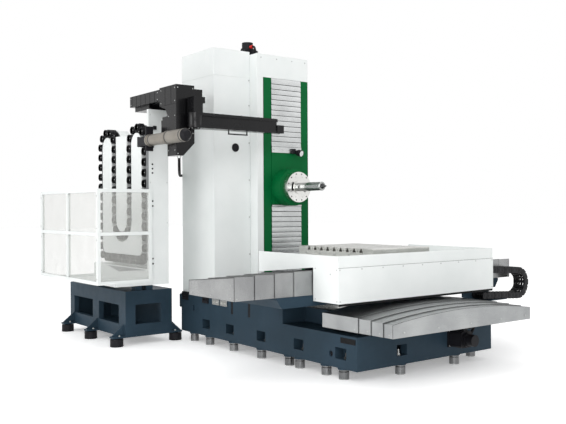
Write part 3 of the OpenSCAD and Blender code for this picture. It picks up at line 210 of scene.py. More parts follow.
# Glass-filled nylon of the energy chain and tool pots: a fine moulded grain
MAT["black_nylon"], t, b, v = moulded("moulded_black_nylon", "#1A1A1C", 0.5, "#18181A", "#242427", 5.0,
                                      Specular_IOR_Level=0.18)
grain = add_node(t, "Bump", {"Height": noise(t, v, 1500.0), "Strength": 0.3, "Distance": 0.00005})
t.links.new(grain.outputs["Normal"], b.inputs["Normal"])
# Rubber of wipers, seams and cable jackets; the same black also fills the lamellae's gaps as painted shade
MAT["rubber_and_gap_shade"] = moulded("black_rubber_and_painted_gap_shade", "#151516", 0.62, "#121213", "#1E1E20", 30.0,
                        Specular_IOR_Level=0.12)[0]
# The fence's panes, the work lamp's lens and the plastic of the red plugs
MAT["clear_pane"] = varied("clear_polycarbonate", "#CDCECA", 0.4, "Alpha", 4.0, 0.25, 0.29, Alpha=0.27)
MAT["lens"] = varied("frosted_lamp_lens", "#F3F5F4", 0.3, "Roughness", 400.0, 0.26, 0.36,
                     Transmission_Weight=0.2)
MAT["red_plastic"] = varied("red_signal_plastic", "#C3201C", 0.35, "Roughness", 200.0, 0.3, 0.42)
print(len(MAT), "finishes")

# %% [markdown]
# ## Finishes on the CAD nodes
# Each CAD node gets the finish of the real part. A few parts have two finishes, as where bare metal
# meets paint. Their faces are chosen by where the face's centre lies, so the mesh stays as it is.

# %% Give every CAD node its finish
FINISH = {
    "slate_enamel": ["bed", "saddle", "table_slide", "column_casting", "changer_stand"],
    "white_coat": ["column_housing", "column_shroud", "column_hood", "table_guard", "guard_front_plate",
                   "magazine_case", "fence_frame"],
    "green_enamel": ["front_frame", "spindle_head"],
    "black_gloss": ["changer_housing", "arm_carriage", "tool_arm"],
    "black_satin": ["x_drive_motor", "y_drive_motor", "z_drive_motor"],
    "ground_steel": ["rotary_table", "x_rails", "x_ballscrew"],
    "turned_steel": ["milling_sleeve"],
    "bar_steel": ["boring_bar"],
    "cylinder_steel": ["transfer_cylinder"],
    "rail_steel": ["z_rails", "y_rails", "z_ballscrew", "y_ballscrew",
                   "z_runner_blocks", "x_runner_blocks", "y_runner_blocks"],
    "apron_steel": ["upper_apron", "lower_apron"],
    "dark_steel": ["chain_links"],
    "mount_steel": ["levelling_mounts"],
    "zinc": ["work_light"],
    "guide_steel": ["chain_guide"],
    "black_nylon": ["energy_chain", "tool_pots"],
    "rubber_and_gap_shade": ["changer_cable"],
    "clear_pane": ["fence_panes"],
}
for finish, names in FINISH.items():
    for n in names:
        nodes[n].data.materials.clear()
        nodes[n].data.materials.append(MAT[finish])
for n, o in nodes.items():
    if n.startswith("x_cover") or n.startswith("z_cover"):
        o.data.materials.clear()
        o.data.materials.append(MAT["cover_steel_x" if n.startswith("x") else "cover_steel_y"])


def paint_where(node, finish, test):
    """Gives a finish to the faces whose centre passes a test; the faces themselves stay."""
    me = nodes[node].data
    me.materials.append(MAT[finish])
    centre = np.empty(len(me.polygons) * 3)
    me.polygons.foreach_get("center", centre)
    before = np.empty(len(me.polygons), np.int32)
    me.polygons.foreach_get("material_index", before)
    index = np.where(test(centre.reshape(-1, 3)), len(me.materials) - 1, before).astype(np.int32)
    me.polygons.foreach_set("material_index", index)


# c holds the faces' centres. In turn: the stand's feet, the bare steel strip at the head's top, the
# middle of the bar's end, the sleeve's recess, darkened as painted shade, and the cylinder's two ends
paint_where("levelling_mounts", "black_satin", lambda c: (c[:, 0] < -1.03) & (c[:, 1] > 1.5))
paint_where("spindle_head", "apron_steel", lambda c: (c[:, 2] > 2.45) & (c[:, 1] < 0.765))
paint_where("boring_bar", "dark_steel", lambda c: (c[:, 0] ** 2 + (c[:, 2] - SPINDLE_Z) ** 2 < 0.0335 ** 2))
# The sleeve's recess is darkened with dark steel as painted shade on the flange's face
paint_where("milling_sleeve", "dark_steel", lambda c: (
    (c[:, 1] > 0.4885) & (c[:, 1] < 0.531) & (np.hypot(c[:, 0], c[:, 2] - SPINDLE_Z) < 0.185)))
paint_where("transfer_cylinder", "black_satin", lambda c: (c[:, 1] > 0.9635) | (c[:, 1] < 0.119))

# %% [markdown]
# ## Mesh tools
# A piece is gathered as numpy vertices and faces, then written once. A lathe turns a profile of
# (radius, distance) pairs about an axis: p = o + t·d + r·(cos a · u + sin a · v), where u and v
# are unit vectors square to the axis d.

# %% Pieces and curves
BOX_FACES = [(0, 2, 3, 1), (4, 5, 7, 6), (0, 1, 5, 4), (2, 6, 7, 3), (0, 4, 6, 2), (1, 3, 7, 5)]


def square_frame(d):
    """Three unit vectors square to each other: d itself, then u and v."""
    d = np.asarray(d, float) / np.linalg.norm(d)
    ref = np.array([0, 0, 1.0]) if abs(d[2]) < 0.9 else np.array([1.0, 0, 0])
    u = np.cross(ref, d)
    u /= np.linalg.norm(u)
    return d, u, np.cross(d, u)


def round_edges(obj, width, angle):
    """Rounds every edge sharper than an angle in degrees, in two steps; returns the modifier."""
    mod = obj.modifiers.new("edge", "BEVEL")
    mod.width = width
    mod.segments = 2
    mod.limit_method = "ANGLE"
    mod.angle_limit = math.radians(angle)
    return mod


class Piece:
    """One mesh in the making: vertices, faces, and the finish of each face."""

    def __init__(self):
        self.verts, self.faces = [], []
        self.slots, self.mats = [], []
        self.count, self.current = 0, 0

    def use(self, finish):
        """Everything added from here on gets this finish."""
        if finish not in self.mats:
            self.mats.append(finish)
        self.current = self.mats.index(finish)
        return self

    def add(self, verts, faces):
        self.verts.append(np.asarray(verts, float).reshape(-1, 3))
        self.faces += [tuple(int(i) + self.count for i in f) for f in faces]
        self.slots += [self.current] * len(faces)
        self.count += len(self.verts[-1])
        return self

    def box(self, x0, x1, y0, y1, z0, z1):
        v = [(x, y, z) for z in (z0, z1) for y in (y0, y1) for x in (x0, x1)]
        return self.add(v, BOX_FACES)

    def block(self, centre, half, d=(0, 0, 1), spin=0.0):
        """A box of half-sizes (along u, v, d) about a centre, turned to face d and spun about it."""
        d, u, v = square_frame(d)
        c, s = math.cos(spin), math.sin(spin)
        u, v = c * u + s * v, c * v - s * u
        pts = [np.asarray(centre) + i * half[0] * u + j * half[1] * v + k * half[2] * d
               for k in (-1, 1) for j in (-1, 1) for i in (-1, 1)]
        return self.add(pts, BOX_FACES)

    def lathe(self, o, d, profile, n=32):
        """Turns (radius, distance) pairs about the line through o along d, with n sides."""
        d, u, v = square_frame(d)
        a = 2 * np.pi * np.arange(n) / n
        ring = np.cos(a)[:, None] * u + np.sin(a)[:, None] * v
        pts = np.concatenate([np.asarray(o) + t * d + r * ring for r, t in profile])
        faces = [(k * n + i, k * n + (i + 1) % n, (k + 1) * n + (i + 1) % n, (k + 1) * n + i)
                 for k in range(len(profile) - 1) for i in range(n)]
        faces.append(tuple(range(n))[::-1])
        faces.append(tuple(range((len(profile) - 1) * n, len(profile) * n)))
        return self.add(pts, faces)

    def rod(self, a, b, r, n=24, chamfer=0.0):
        """A round rod from a to b, with its ends chamfered."""
        a, b = np.asarray(a, float), np.asarray(b, float)
        h = float(np.linalg.norm(b - a))
        c = min(chamfer, h / 3, r / 2)
        profile = [(r - c, 0), (r, c), (r, h - c), (r - c, h)] if c else [(r, 0), (r, h)]
        return self.lathe(a, b - a, profile, n)

    def cap_screw(self, p, d, r, h, n=20):
        """A socket cap screw's head standing on p, with a round recess."""
        return self.lathe(p, d, [(r * 0.98, 0), (r, h * 0.1), (r, h * 0.85), (r * 0.9, h),
                                 (r * 0.56, h), (r * 0.52, h * 0.45)], n)

    def low_head(self, p, d, r, rim, top_r, top, n):
        """A low screw head or plug standing on p: a rim, then a chamfer up to its smaller top."""
        return self.lathe(p, d, [(r, 0), (r, rim), (top_r, top)], n)

    def gland(self, p, d, r, rim, neck, step, length):
        """A cable gland: a hexagon, a small step and a hexagonal neck."""
        return self.lathe(p, d, [(r, 0), (r, rim), (neck, step), (neck, length)], HEXAGON)

    def hex_nut(self, p, d, r, h):
        """A nut standing on p, with the end of its bolt above it."""
        self.lathe(p, d, [(r, 0), (r, h * 0.9), (r * 0.9, h)], HEXAGON)
        return self.lathe(p, d, [(r * 0.55, 0), (r * 0.55, h * 1.5), (r * 0.45, h * 1.6)], 16)

    def tube(self, path, r, n=12, ribs=0.0):
        """A round tube along a path; ribs swells every second ring, as on corrugated conduit.

        Ring k is p + r·(cos a · u + sin a · w), where u is carried on from ring to ring so that
        the tube doesn't twist.
        """
        p = np.asarray(path, float)
        m = len(p)
        tang = np.gradient(p, axis=0)
        tang /= np.linalg.norm(tang, axis=1)[:, None]
        _, u, _ = square_frame(tang[0])
        rings = []
        for k in range(m):
            u = u - np.dot(u, tang[k]) * tang[k]
            u /= np.linalg.norm(u)
            w = np.cross(tang[k], u)
            a = 2 * np.pi * np.arange(n) / n
            rings.append(p[k] + (r + ribs * (k % 2)) * (np.cos(a)[:, None] * u + np.sin(a)[:, None] * w))
        faces = [(k * n + i, k * n + (i + 1) % n, (k + 1) * n + (i + 1) % n, (k + 1) * n + i)
                 for k in range(m - 1) for i in range(n)]
        faces += [tuple(range(n))[::-1], tuple(range((m - 1) * n, m * n))]
        return self.add(np.concatenate(rings), faces)

    def prism(self, outline, origin, ex, ey, depth):
        """A flat outline in the ex, ey plane, pushed by the depth vector."""
        ex, ey, depth = (np.asarray(q, float) for q in (ex, ey, depth))
        base = np.asarray(origin) + np.asarray(outline)[:, :1] * ex + np.asarray(outline)[:, 1:] * ey
        n = len(outline)
        faces = [(i, (i + 1) % n, n + (i + 1) % n, n + i) for i in range(n)]
        faces += [tuple(range(n))[::-1], tuple(range(n, 2 * n))]
        return self.add(np.concatenate([base, base + depth]), faces)

    def make(self, name, body, bevel=0.0, sharp=32.0):
        """Writes the mesh, sets its sharp edges and fixes it to a body; body None leaves it free."""
        me = bpy.data.meshes.new(name)
        me.from_pydata(np.concatenate(self.verts).tolist(), [], self.faces)
        for finish in self.mats:
            me.materials.append(MAT[finish])
        me.polygons.foreach_set("material_index", np.array(self.slots, np.int32))
        bm = bmesh.new()
        bm.from_mesh(me)
        bmesh.ops.recalc_face_normals(bm, faces=bm.faces)
        bm.to_mesh(me)
        bm.free()
        me.shade_smooth()
        me.set_sharp_from_angle(angle=math.radians(sharp))
        o = bpy.data.objects.new(name, me)
        bpy.context.collection.objects.link(o)
        if bevel:
            round_edges(o, bevel, 40)
        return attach(o, body) if body else o


def smooth_path(points, step=0.02):
    """Catmull–Rom curve through the points, a point about every step.

    Between b and c, with a before them and d after, and t from 0 to 1:
    q = ½(2b + (c − a)t + (2a − 5b + 4c − d)t² + (3b − a − 3c + d)t³).
    """
    p = np.asarray(points, float)
    p = np.vstack([2 * p[0] - p[1], p, 2 * p[-1] - p[-2]])
    out = []
    for a, b, c, d in zip(p, p[1:], p[2:], p[3:]):
        n = max(2, int(np.linalg.norm(c - b) / step))
        t = (np.arange(n) / n)[:, None]
        out.append(0.5 * (2 * b + (c - a) * t + (2 * a - 5 * b + 4 * c - d) * t ** 2
                          + (3 * b - a - 3 * c + d) * t ** 3))
    return np.vstack(out + [p[-2:-1]])


# %% [markdown]
# ## Rounded casting edges
# Cast and folded parts have no knife edges, and a thin highlight runs along each one. The CAD
# meshes are loose triangles, so they are welded first and then bevelled by 2 mm, which keeps the
# CAD faces where they are and costs few triangles.

# %% Round the edges of the large CAD parts
ROUNDED = ["bed", "saddle", "changer_stand", "spindle_head", "table_guard", "rotary_table", "tool_arm",
           "changer_housing", "arm_carriage", "column_housing", "column_shroud", "column_hood",
           "magazine_case", "table_slide"]
for n in ROUNDED:
    weld = nodes[n].modifiers.new("weld", "WELD")
    weld.merge_threshold = 0.00001
    round_edges(nodes[n], 0.002, 50).use_clamp_overlap = True
print(len(ROUNDED), "parts with rounded edges")

# %% [markdown]
# ## Column and head fittings
# The column's sheet-metal housing is held by rows of screws, and its guide plates by screws whose
# holes are plugged and painted over. They could be drawn as a bump, but real heads catch the
# light, so each is a small turned shape on the CAD surface.

# %% Screws and plugs of the column
PLUG_X, PLUG_PITCH = 0.346, 0.42
p = Piece().use("zinc")
for z in (3.374, 3.05, 2.568, 2.09, 1.613, 1.135):
    p.low_head((-0.478, 0.918, z), TO_FRONT, 0.009, 0.003, 0.006, 0.006, 20)
for x in (-0.40, -0.15, 0.10, 0.32):
    p.low_head((x, 0.755, 3.66), TO_FRONT, 0.008, 0.003, 0.005, 0.005, 16)
# Painted plugs flush in the guide plates' screw holes
p.use("green_enamel")
for z in np.arange(0.734, 3.35, PLUG_PITCH):
    for x in (-PLUG_X, PLUG_X):
        p.rod((x, 0.7585, z), (x, 0.7548, z), 0.0058, 16)
p.make("column_screws", "base")

# %% The round cap on the column's housing, with eight spokes
CAP_X, CAP_Z, SPOKE_R = -0.689, 2.5, 0.026
p = Piece().use("black_satin")
p.lathe((CAP_X, 0.9201, CAP_Z), TO_FRONT, [(0.053, 0), (0.053, 0.006), (0.047, 0.009),
                                           (0.044, 0.004), (0.012, 0.004), (0.0, 0.004)], 48)
for k in range(8):
    a = k * math.pi / 4
    p.block((CAP_X + SPOKE_R * math.cos(a), 0.9145, CAP_Z + SPOKE_R * math.sin(a)),
            (0.002, 0.013, 0.001), TO_FRONT, a)
p.make("column_vent_cap", "base")

# Thin rubber strips in the joints between the column's panels
p = Piece().use("rubber_and_gap_shade")
for x in (-0.3645, 0.3625):
    p.box(x - 0.0012, x + 0.0012, 0.7535, 0.757, 0.616, 3.408)
p.box(-0.463, -0.4625, 0.9168, 0.9185, 0.62, 3.40)
p.make("column_seals", "base")
print("column fittings made")

# %% [markdown]
# ## The aprons over the column's guideways
# A stack of folded steel slats covers the opening above and below the head and rolls up as the
# head moves. Rolling can't be shown by rigid parts, so each stack is made as one piece that is
# fixed to no moving body.

# %% Upper and lower lamellae
APRON_HALF, APRON_Y = 0.2415, 0.75
UPPER_SLATS, LOWER_SLATS = 13, 16


def lamella_apron(name, z0, z1, count):
    """Folded lamellae: each has a flat face, a rolled lip at its lower edge and, in the gap under it, a black
    strip of painted shade.
    """
    q = Piece()
    pitch = (z1 - z0) / count
    for k in range(count):
        low, high = z0 + k * pitch, z0 + (k + 1) * pitch
        slat = [(0.7472, low + 0.003), (0.7460, low + 0.007), (0.7515, high + 0.005),
                (0.755, high + 0.005), (0.750, low + 0.003)]
        q.use("apron_steel").prism(slat, (-APRON_HALF, 0, 0), (0, 1, 0), (0, 0, 1), (0.483, 0, 0))
        q.rod((-APRON_HALF, 0.7478, low + 0.005), (APRON_HALF, 0.7478, low + 0.005), 0.0026, 10)
        # A black strip in the gap under each lip: painted shade, not a real part
        q.use("rubber_and_gap_shade").box(-0.241, 0.241, 0.7505, 0.7565, low - 0.004, low + 0.003)
    o = q.make(name, None)
    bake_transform(o)
    return o


top = lamella_apron("upper_lamellae", 2.524, 3.402, UPPER_SLATS)
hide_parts("upper_apron")
low = lamella_apron("lower_lamellae", 0.678, 1.748, LOWER_SLATS)
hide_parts("lower_apron")
print("lamellae:", UPPER_SLATS + LOWER_SLATS)

# %% Wiper, screws and lamp on the head
FLANGE_BOLT_R = 0.222
p = Piece().use("rubber_and_gap_shade").box(-0.2405, 0.2405, 0.740, 0.7495, 1.7495, 1.7715)
p.use("apron_steel").box(-0.2405, 0.2405, 0.738, 0.741, 1.752, 1.7685)
p.make("head_wiper", "head", 0.001)

p = Piece().use("zinc")
for x in (-0.215, -0.07, 0.07, 0.215):
    p.cap_screw((x, 0.741, 2.485), TO_FRONT, 0.0065, 0.006)
for k in range(8):
    a = math.radians(22.5 + 45 * k)
    p.cap_screw((FLANGE_BOLT_R * math.cos(a), 0.7245, SPINDLE_Z + FLANGE_BOLT_R * math.sin(a)), TO_FRONT,
                0.007, 0.004)
p.make("head_screws", "head")

# Work lamp: a square block, a pin, and a round black housing with its white lens facing the tool
p = Piece().use("black_satin").box(0.068, 0.124, 0.7075, 0.7408, 2.440, 2.504)
p.rod((0.110, 0.724, 2.462), (0.158, 0.724, 2.462), 0.011, 24, 0.002)
LAMP, AIM = np.array([0.150, 0.712, 2.459]), np.array([0.24, -0.93, -0.27])
LAMP_SIDES = 40
p.lathe(LAMP, AIM, [(0.004, -0.030), (0.019, -0.028), (0.026, -0.016), (0.028, 0.0), (0.036, 0.022),
                    (0.041, 0.045), (0.042, 0.074), (0.0405, 0.078), (0.0385, 0.074)], LAMP_SIDES)
# Three cooling ribs, which widen with the housing
for t in (0.004, 0.013, 0.022):
    root, crest = 0.030 + t * 0.4, 0.034 + t * 0.4
    p.lathe(LAMP, AIM, [(root, t), (crest, t + 0.001), (crest, t + 0.004), (root, t + 0.005)], LAMP_SIDES)
p.use("lens").lathe(LAMP, AIM, [(0.0384, 0.072), (0.0384, 0.0745), (0.030, 0.0765),
                                (0.018, 0.0778), (0.002, 0.0782)], LAMP_SIDES)
lamp = p.make("work_lamp", "head", 0.0008)
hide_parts("work_light")
print("head fittings made")

# %% [markdown]
# ## Telescopic covers
# Steel covers slide over each other to keep chips off the guideways. Each section ends in a folded
# lip with a rubber wiper. The lip is a band that follows the section's outline, 1 to 2 mm outside
# it, because a bevel alone would leave the open edge as thin as paper.

# %% A band round an outline
def band(q, outline, axis, a, b, grow):
    """A strip round an open outline of (across, height) pairs between a and b along an axis.

    The outer line is the outline moved outwards by grow: sideways by the sign of the point's
    place, and upwards where it lies above the outline's foot.
    """
    o = np.asarray(outline)
    outer = o + grow * np.stack([np.sign(o[:, 0]), (o[:, 1] > o[0, 1]) * 1.0], 1)
    n = len(o)
    ring = np.concatenate([o, outer])
    pts = np.concatenate([np.column_stack([np.full(2 * n, s), ring]) for s in (a, b)])
    if axis == "Y":
        pts = pts[:, [1, 0, 2]]
    faces = []
    for i in range(n - 1):
        faces += [(i, i + 1, n + i + 1, n + i), (2 * n + i, 3 * n + i, 3 * n + i + 1, 2 * n + i + 1),
                  (n + i, n + i + 1, 3 * n + i + 1, 3 * n + i), (i, 2 * n + i, 2 * n + i + 1, i + 1)]
    faces += [(0, n, 3 * n, 2 * n), (n - 1, 3 * n - 1, 4 * n - 1, 2 * n - 1)]
    q.add(pts, faces)


# %% [markdown]
# ## The covers under the table
# Their roofs fall from front to rear so that coolant runs off. Each section is 6 mm wider and 6 mm
# taller than the one it slides over. A sheet folded along the outline, with a real thickness, takes
# the place of each CAD section.

# %% Sections of the covers under the table
COVER_Y, COVER_FRONT, COVER_REAR = -0.787, 1.068, 0.990
COVER_STEP = 0.006
SECTIONS = 5
WIPER, LIP = 0.003, 0.020


def roof(i, low):
    """Section i's outline in (y from the middle, z): a wall, the falling roof, a wall."""
    half, rise = 0.430 + COVER_STEP * (i - 3), COVER_STEP * (i - 1)
    return np.array([(-half, low), (-half, COVER_FRONT + rise), (half, COVER_REAR + rise), (half, low)])


def folded_sheet(q, outline, x0, x1, t=0.003):
    """Sheet of thickness t folded to the outline: an outer and an inner strip joined at every edge."""
    inner = outline + t * np.column_stack([-np.sign(outline[:, 0]), [0, -1, -1, 0]])
    rings = [np.column_stack([np.full(8, x), np.concatenate([outline, inner])]) for x in (x0, x1)]
    faces = [(0, 4, 12, 8), (3, 11, 15, 7)]
    for k in range(3):
        faces += [(k, k + 8, k + 9, k + 1), (k + 4, k + 5, k + 13, k + 12),
                  (k, k + 1, k + 5, k + 4), (k + 8, k + 12, k + 13, k + 9)]
    q.add(np.concatenate(rings) + (0, COVER_Y, 0), faces)


def body_of(node):
    """The moving body that carries a CAD node."""
    return next(b for b, names in frame["record"]["behaviour"]["bodies"].items() if node in names)


for side in ("left", "right"):
    for i in range(1, SECTIONS + 1):
        n = f"x_cover_{side}_{i}"
        lo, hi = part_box(n)
        line = roof(i, lo.z)
        q = Piece().use("cover_steel_x")
        folded_sheet(q, line, lo.x, hi.x)
        end, into = (lo.x, 1) if side == "left" else (hi.x, -1)
        for finish, a, b, grow in (("rubber_and_gap_shade", 0.0, WIPER, 0.0020), ("cover_steel_x", WIPER, LIP, 0.0012)):
            q.use(finish)
            band(q, line, "X", end + into * a, end + into * b, grow)
            q.verts[-1][:, 1] += COVER_Y
        if i == 1:
            # Section 1, fixed to the saddle, is closed by an end plate with its screws
            q.use("cover_steel_x").prism(line * 0.9999, (end, COVER_Y, 0), (0, 1, 0), (0, 0, 1),
                                         (into * 0.003, 0, 0))
            q.use("zinc")
            for y, z in ((lo.y + 0.06, lo.z + 0.03), (lo.y + 0.06, lo.z + 0.15),
                         (hi.y - 0.06, lo.z + 0.03), (COVER_Y, lo.z + 0.03)):
                q.low_head((end, y, z), (-into, 0, 0), 0.008, 0.003, 0.005, 0.006, 16)
            for y, dy in ((lo.y, -1), (hi.y, 1)):
                q.low_head((end + into * 0.03, y, lo.z + 0.022), (0, dy, 0),
                           0.0075, 0.0012, 0.005, 0.002, 16)
        skin = q.make(n + "_skin", body_of(n))
        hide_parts(n)
print("X cover skins:", 2 * SECTIONS)

# %% [markdown]
# ## The arched covers over the bed
# Their roofs are arched so that chips slide off. The CAD sections stay, and each gets only the lip
# and wiper at its open edge, because the arch already has the real shape.

# %% Edges of the arched covers
BED_LIP = 0.022


def arch_outline(node, eaves_rise):
    """The section's arched outline: z = eaves + (crown − eaves)(1 − u²) for u from −1 to 1."""
    lo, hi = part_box(node)
    half = (hi.x - lo.x) / 2
    eaves = hi.z - eaves_rise
    arch = [(half * u, eaves + eaves_rise * (1 - u * u)) for u in np.linspace(-1, 1, 25)]
    return [(-half, lo.z)] + arch + [(half, lo.z)], lo, hi


for group, count, rise in (("front", 4, 0.072), ("rear", 3, 0.036)):
    for i in range(1, count + 1):
        n = f"z_cover_{group}_{i}"
        line, lo, hi = arch_outline(n, rise)
        q = Piece()
        end, into = (lo.y, 1) if group == "front" else (hi.y, -1)
        for finish, a, b, grow in (("rubber_and_gap_shade", 0.0, WIPER, 0.0020), ("cover_steel_y", WIPER, BED_LIP, 0.0012)):
            q.use(finish)
            band(q, line, "Y", end + into * a, end + into * b, grow)
        if group == "front":
            q.use("zinc")
            for x, dx in ((lo.x, -1), (hi.x, 1)):
                q.low_head((x, end + 0.05, lo.z + 0.03), (dx, 0, 0), 0.008, 0.0012, 0.005, 0.002, 16)
            if i == 1:
                for x in (-0.90, -0.42, 0.06, 0.54, 0.96):
                    q.low_head((x, lo.y, lo.z + 0.045), TO_FRONT, 0.010, 0.003, 0.006, 0.007, 20)
        q.make(n + "_edge", body_of(n))
print("covers trimmed")

# %% [markdown]
# ## Table guard
# A tray of folded white sheet rides with the table and catches chips and coolant. Its side walls
# end in a sloping lower edge that follows the roofs of the covers, and its deck has a round hole
# for the rotary table. It is built from plates of one thickness, as the sheet-metal shop would.

# %% The guard's walls and deck
# Half width, front and rear in Y, top and deck in Z, and the sheet's thickness. Then the skirt's foot
# and rear end, and the side walls' lower edge at its front and rear.
HALF, FRONT, REAR, TOP, DECK, T = 1.19, -1.62, -0.288, 1.25, 1.131, 0.004
SKIRT_Z, SKIRT_END, EDGE_FRONT, EDGE_REAR = 0.781, -1.236, 1.120, 1.023
HOLE_R = 0.394
CHAIN_SILL, CHAIN_HEAD, CHAIN_FRONT = 0.91, 1.04, -1.437
HOLE_POINTS = 96

q = Piece().use("white_coat")
wall_foot = [(FRONT, SKIRT_Z), (SKIRT_END, SKIRT_Z)]
wall_rest = [(SKIRT_END, EDGE_FRONT), (REAR, EDGE_REAR), (REAR, TOP), (FRONT, TOP)]
# The right wall is cut out where the energy chain comes in
chain_notch = [(SKIRT_END, CHAIN_SILL), (CHAIN_FRONT, CHAIN_SILL),
               (CHAIN_FRONT, CHAIN_HEAD), (SKIRT_END, CHAIN_HEAD)]
for outline, x in ((wall_foot + wall_rest, -HALF), (wall_foot + chain_notch + wall_rest, HALF - T)):
    q.prism(outline, (x, 0, 0), (0, 1, 0), (0, 0, 1), (T, 0, 0))
q.box(-HALF + T, HALF - T, FRONT, FRONT + T, 0.789, TOP)
q.box(-HALF + T, HALF - T, FRONT + T, FRONT + 0.030, TOP - T, TOP)
q.box(-HALF + T, HALF - T, REAR - T, REAR, EDGE_REAR + 0.004, DECK)

# Ray k leaves the hole's centre at angle a_k and reaches the deck's edge at the nearer of
# half width / |cos a| and depth / |sin a|. Four more rays go to the corners.
corners = [math.atan2(y - TABLE_Y, x) % (2 * np.pi) for x in (-HALF + T, HALF - T) for y in (FRONT + T, REAR)]
a = np.sort(np.concatenate([np.linspace(0, 2 * np.pi, HOLE_POINTS, endpoint=False), corners]))
ray = np.column_stack([np.cos(a), np.sin(a)])
depth = np.where(ray[:, 1] > 0, REAR - TABLE_Y, TABLE_Y - FRONT - T)
cos_a, sin_a = np.maximum(np.abs(ray), 1e-9).T
reach = np.minimum((HALF - T) / cos_a, depth / sin_a)
m = len(a)
hole = np.full(m, HOLE_R)
rings = [np.column_stack([d[:, None] * ray + (0, TABLE_Y), np.full(m, z)])
         for d, z in ((hole, DECK + T), (reach, DECK + T), (reach, DECK), (hole, DECK))]
q.add(np.concatenate(rings),
      [(j * m + k, j * m + (k + 1) % m, (j + 1) % 4 * m + (k + 1) % m, (j + 1) % 4 * m + k)
       for j in range(4) for k in range(m)])
skin = q.make("table_guard_skin", "table", 0.0012)
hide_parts("table_guard")
print("deck rays:", m)

# %% Screws, seam and wiper skirt of the guard
FRONT_SCREWS = 9
lo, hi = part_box("guard_front_plate")
p = Piece().use("zinc")
for i in range(FRONT_SCREWS):
    x = lo.x + 0.018 + i * (hi.x - lo.x - 0.036) / (FRONT_SCREWS - 1)
    p.low_head((x, lo.y, hi.z - 0.017), TO_FRONT, 0.007, 0.002, 0.004, 0.005, 16)
for x in (lo.x + 0.02, hi.x - 0.02):
    p.low_head((x, lo.y, lo.z + 0.024), TO_FRONT, 0.007, 0.002, 0.004, 0.005, 16)
for x, dx in ((lo.x, -1), (hi.x, 1)):
    for y, z in ((-1.600, 1.114), (-1.504, 1.068), (-1.600, 0.806), (-1.27, 1.114), (-1.27, 0.806)):
        p.low_head((x, y, z), (dx, 0, 0), 0.007, 0.002, 0.004, 0.005, 16)
p.make("guard_screws", "table")

p = Piece().use("rubber_and_gap_shade")
p.box(lo.x, hi.x, lo.y + 0.0002, lo.y + 0.0038, hi.z, hi.z + 0.0022)
p.make("guard_seam", "table")

# Dark wiper skirt under the guard's lower edge
p = Piece().use("rubber_and_gap_shade")
p.box(lo.x + 0.004, hi.x - 0.004, -1.6195, -1.6165, 0.757, 0.7815)
p.make("guard_skirt", "table")

p = Piece().use("zinc")
for side in (-1, 1):
    for y in np.arange(TABLE_Y - 0.5, TABLE_Y + 0.51, 0.25):
        p.cap_screw((side * 0.438, y, 1.20), (side, 0, 0), 0.010, 0.008)
p.make("table_side_plugs", "rotary")
print("guard and table fittings made")

# %% [markdown]
# ## Energy chain
# The cables to the moving table lie in a chain of nylon links that bends over as the table travels.
# The energy chain is built link by link along its centre line: lower run, half-circle bend, upper run.
# A point at a distance s on the bend is c + R·(sin φ, −cos φ) with φ = s / R. Both runs sag towards
# the bend: z is raised by droop(x) = 0.02 − 0.06·(x − 1.27), no more than 20 mm either way.
# Rigid links can't run round the bend, so each run is one piece, fixed to no moving body.

# %% The chain's sizes and one link
LOW_X, BEND_X, HIGH_X = 1.27, 1.955, 0.47
Z_LOW, RADIUS, THICK = 0.651, 0.155, 0.078
Y0, Y1 = -1.425, -1.255
PITCH = 0.0687
SLOPE, MOST_DROOP = 0.06, 0.02
Y_MIDDLE = -1.3


def droop(x):
    """How far the run hangs above or below its level line at x."""
    return float(np.clip(MOST_DROOP - SLOPE * (x - LOW_X), -MOST_DROOP, MOST_DROOP))


def chain_link(q, c, angle, k):
    """One link about c, turned in the XZ plane: two chamfered side plates, a lid and a floor."""
    t = np.array([math.cos(angle), 0, math.sin(angle)])
    n = np.array([-math.sin(angle), 0, math.cos(angle)])
    wide = 0.003 if k % 2 else 0.0
    h, half = THICK / 2, PITCH * 0.56
    plate = [(-half, -h * 0.55), (-half * 0.75, -h * 0.93), (half * 0.75, -h * 0.93), (half, -h * 0.55),
             (half, h * 0.55), (half * 0.75, h * 0.93), (-half * 0.75, h * 0.93), (-half, h * 0.55)]
    for y, outward in ((Y0 + 0.003 - wide, -1), (Y1 - 0.012 + wide, 1)):
        q.use("black_nylon").prism(plate, np.array([c[0], y, c[2]]), t, n, (0, 0.009, 0))
        boss_y = y + (0.009 if y > Y_MIDDLE else 0.0)
        q.lathe((c[0], boss_y, c[2]), (0, outward, 0), [(0.020, 0), (0.020, 0.0015), (0.014, 0.003)], 20)
    for s in (-1, 1):
        q.block(np.array([c[0], (Y0 + Y1) / 2, c[2]]) + s * (h - 0.004) * n, (0.079, 0.013, 0.004), n)


def chain_run(name, points):
    """Links along the points, with four cables through them."""
    q = Piece()
    for k, (x, z, angle) in enumerate(points):
        chain_link(q, (x, (Y0 + Y1) / 2, z), angle, k)
    q.use("rubber_and_gap_shade")
    for j, y in enumerate((Y0 + 0.035, Y0 + 0.07, Y0 + 0.105, Y0 + 0.135)):
        q.tube([(x, y, z) for x, z, _ in points], 0.011 + 0.002 * (j % 2), 10)
    return q.make(name, None, sharp=40)


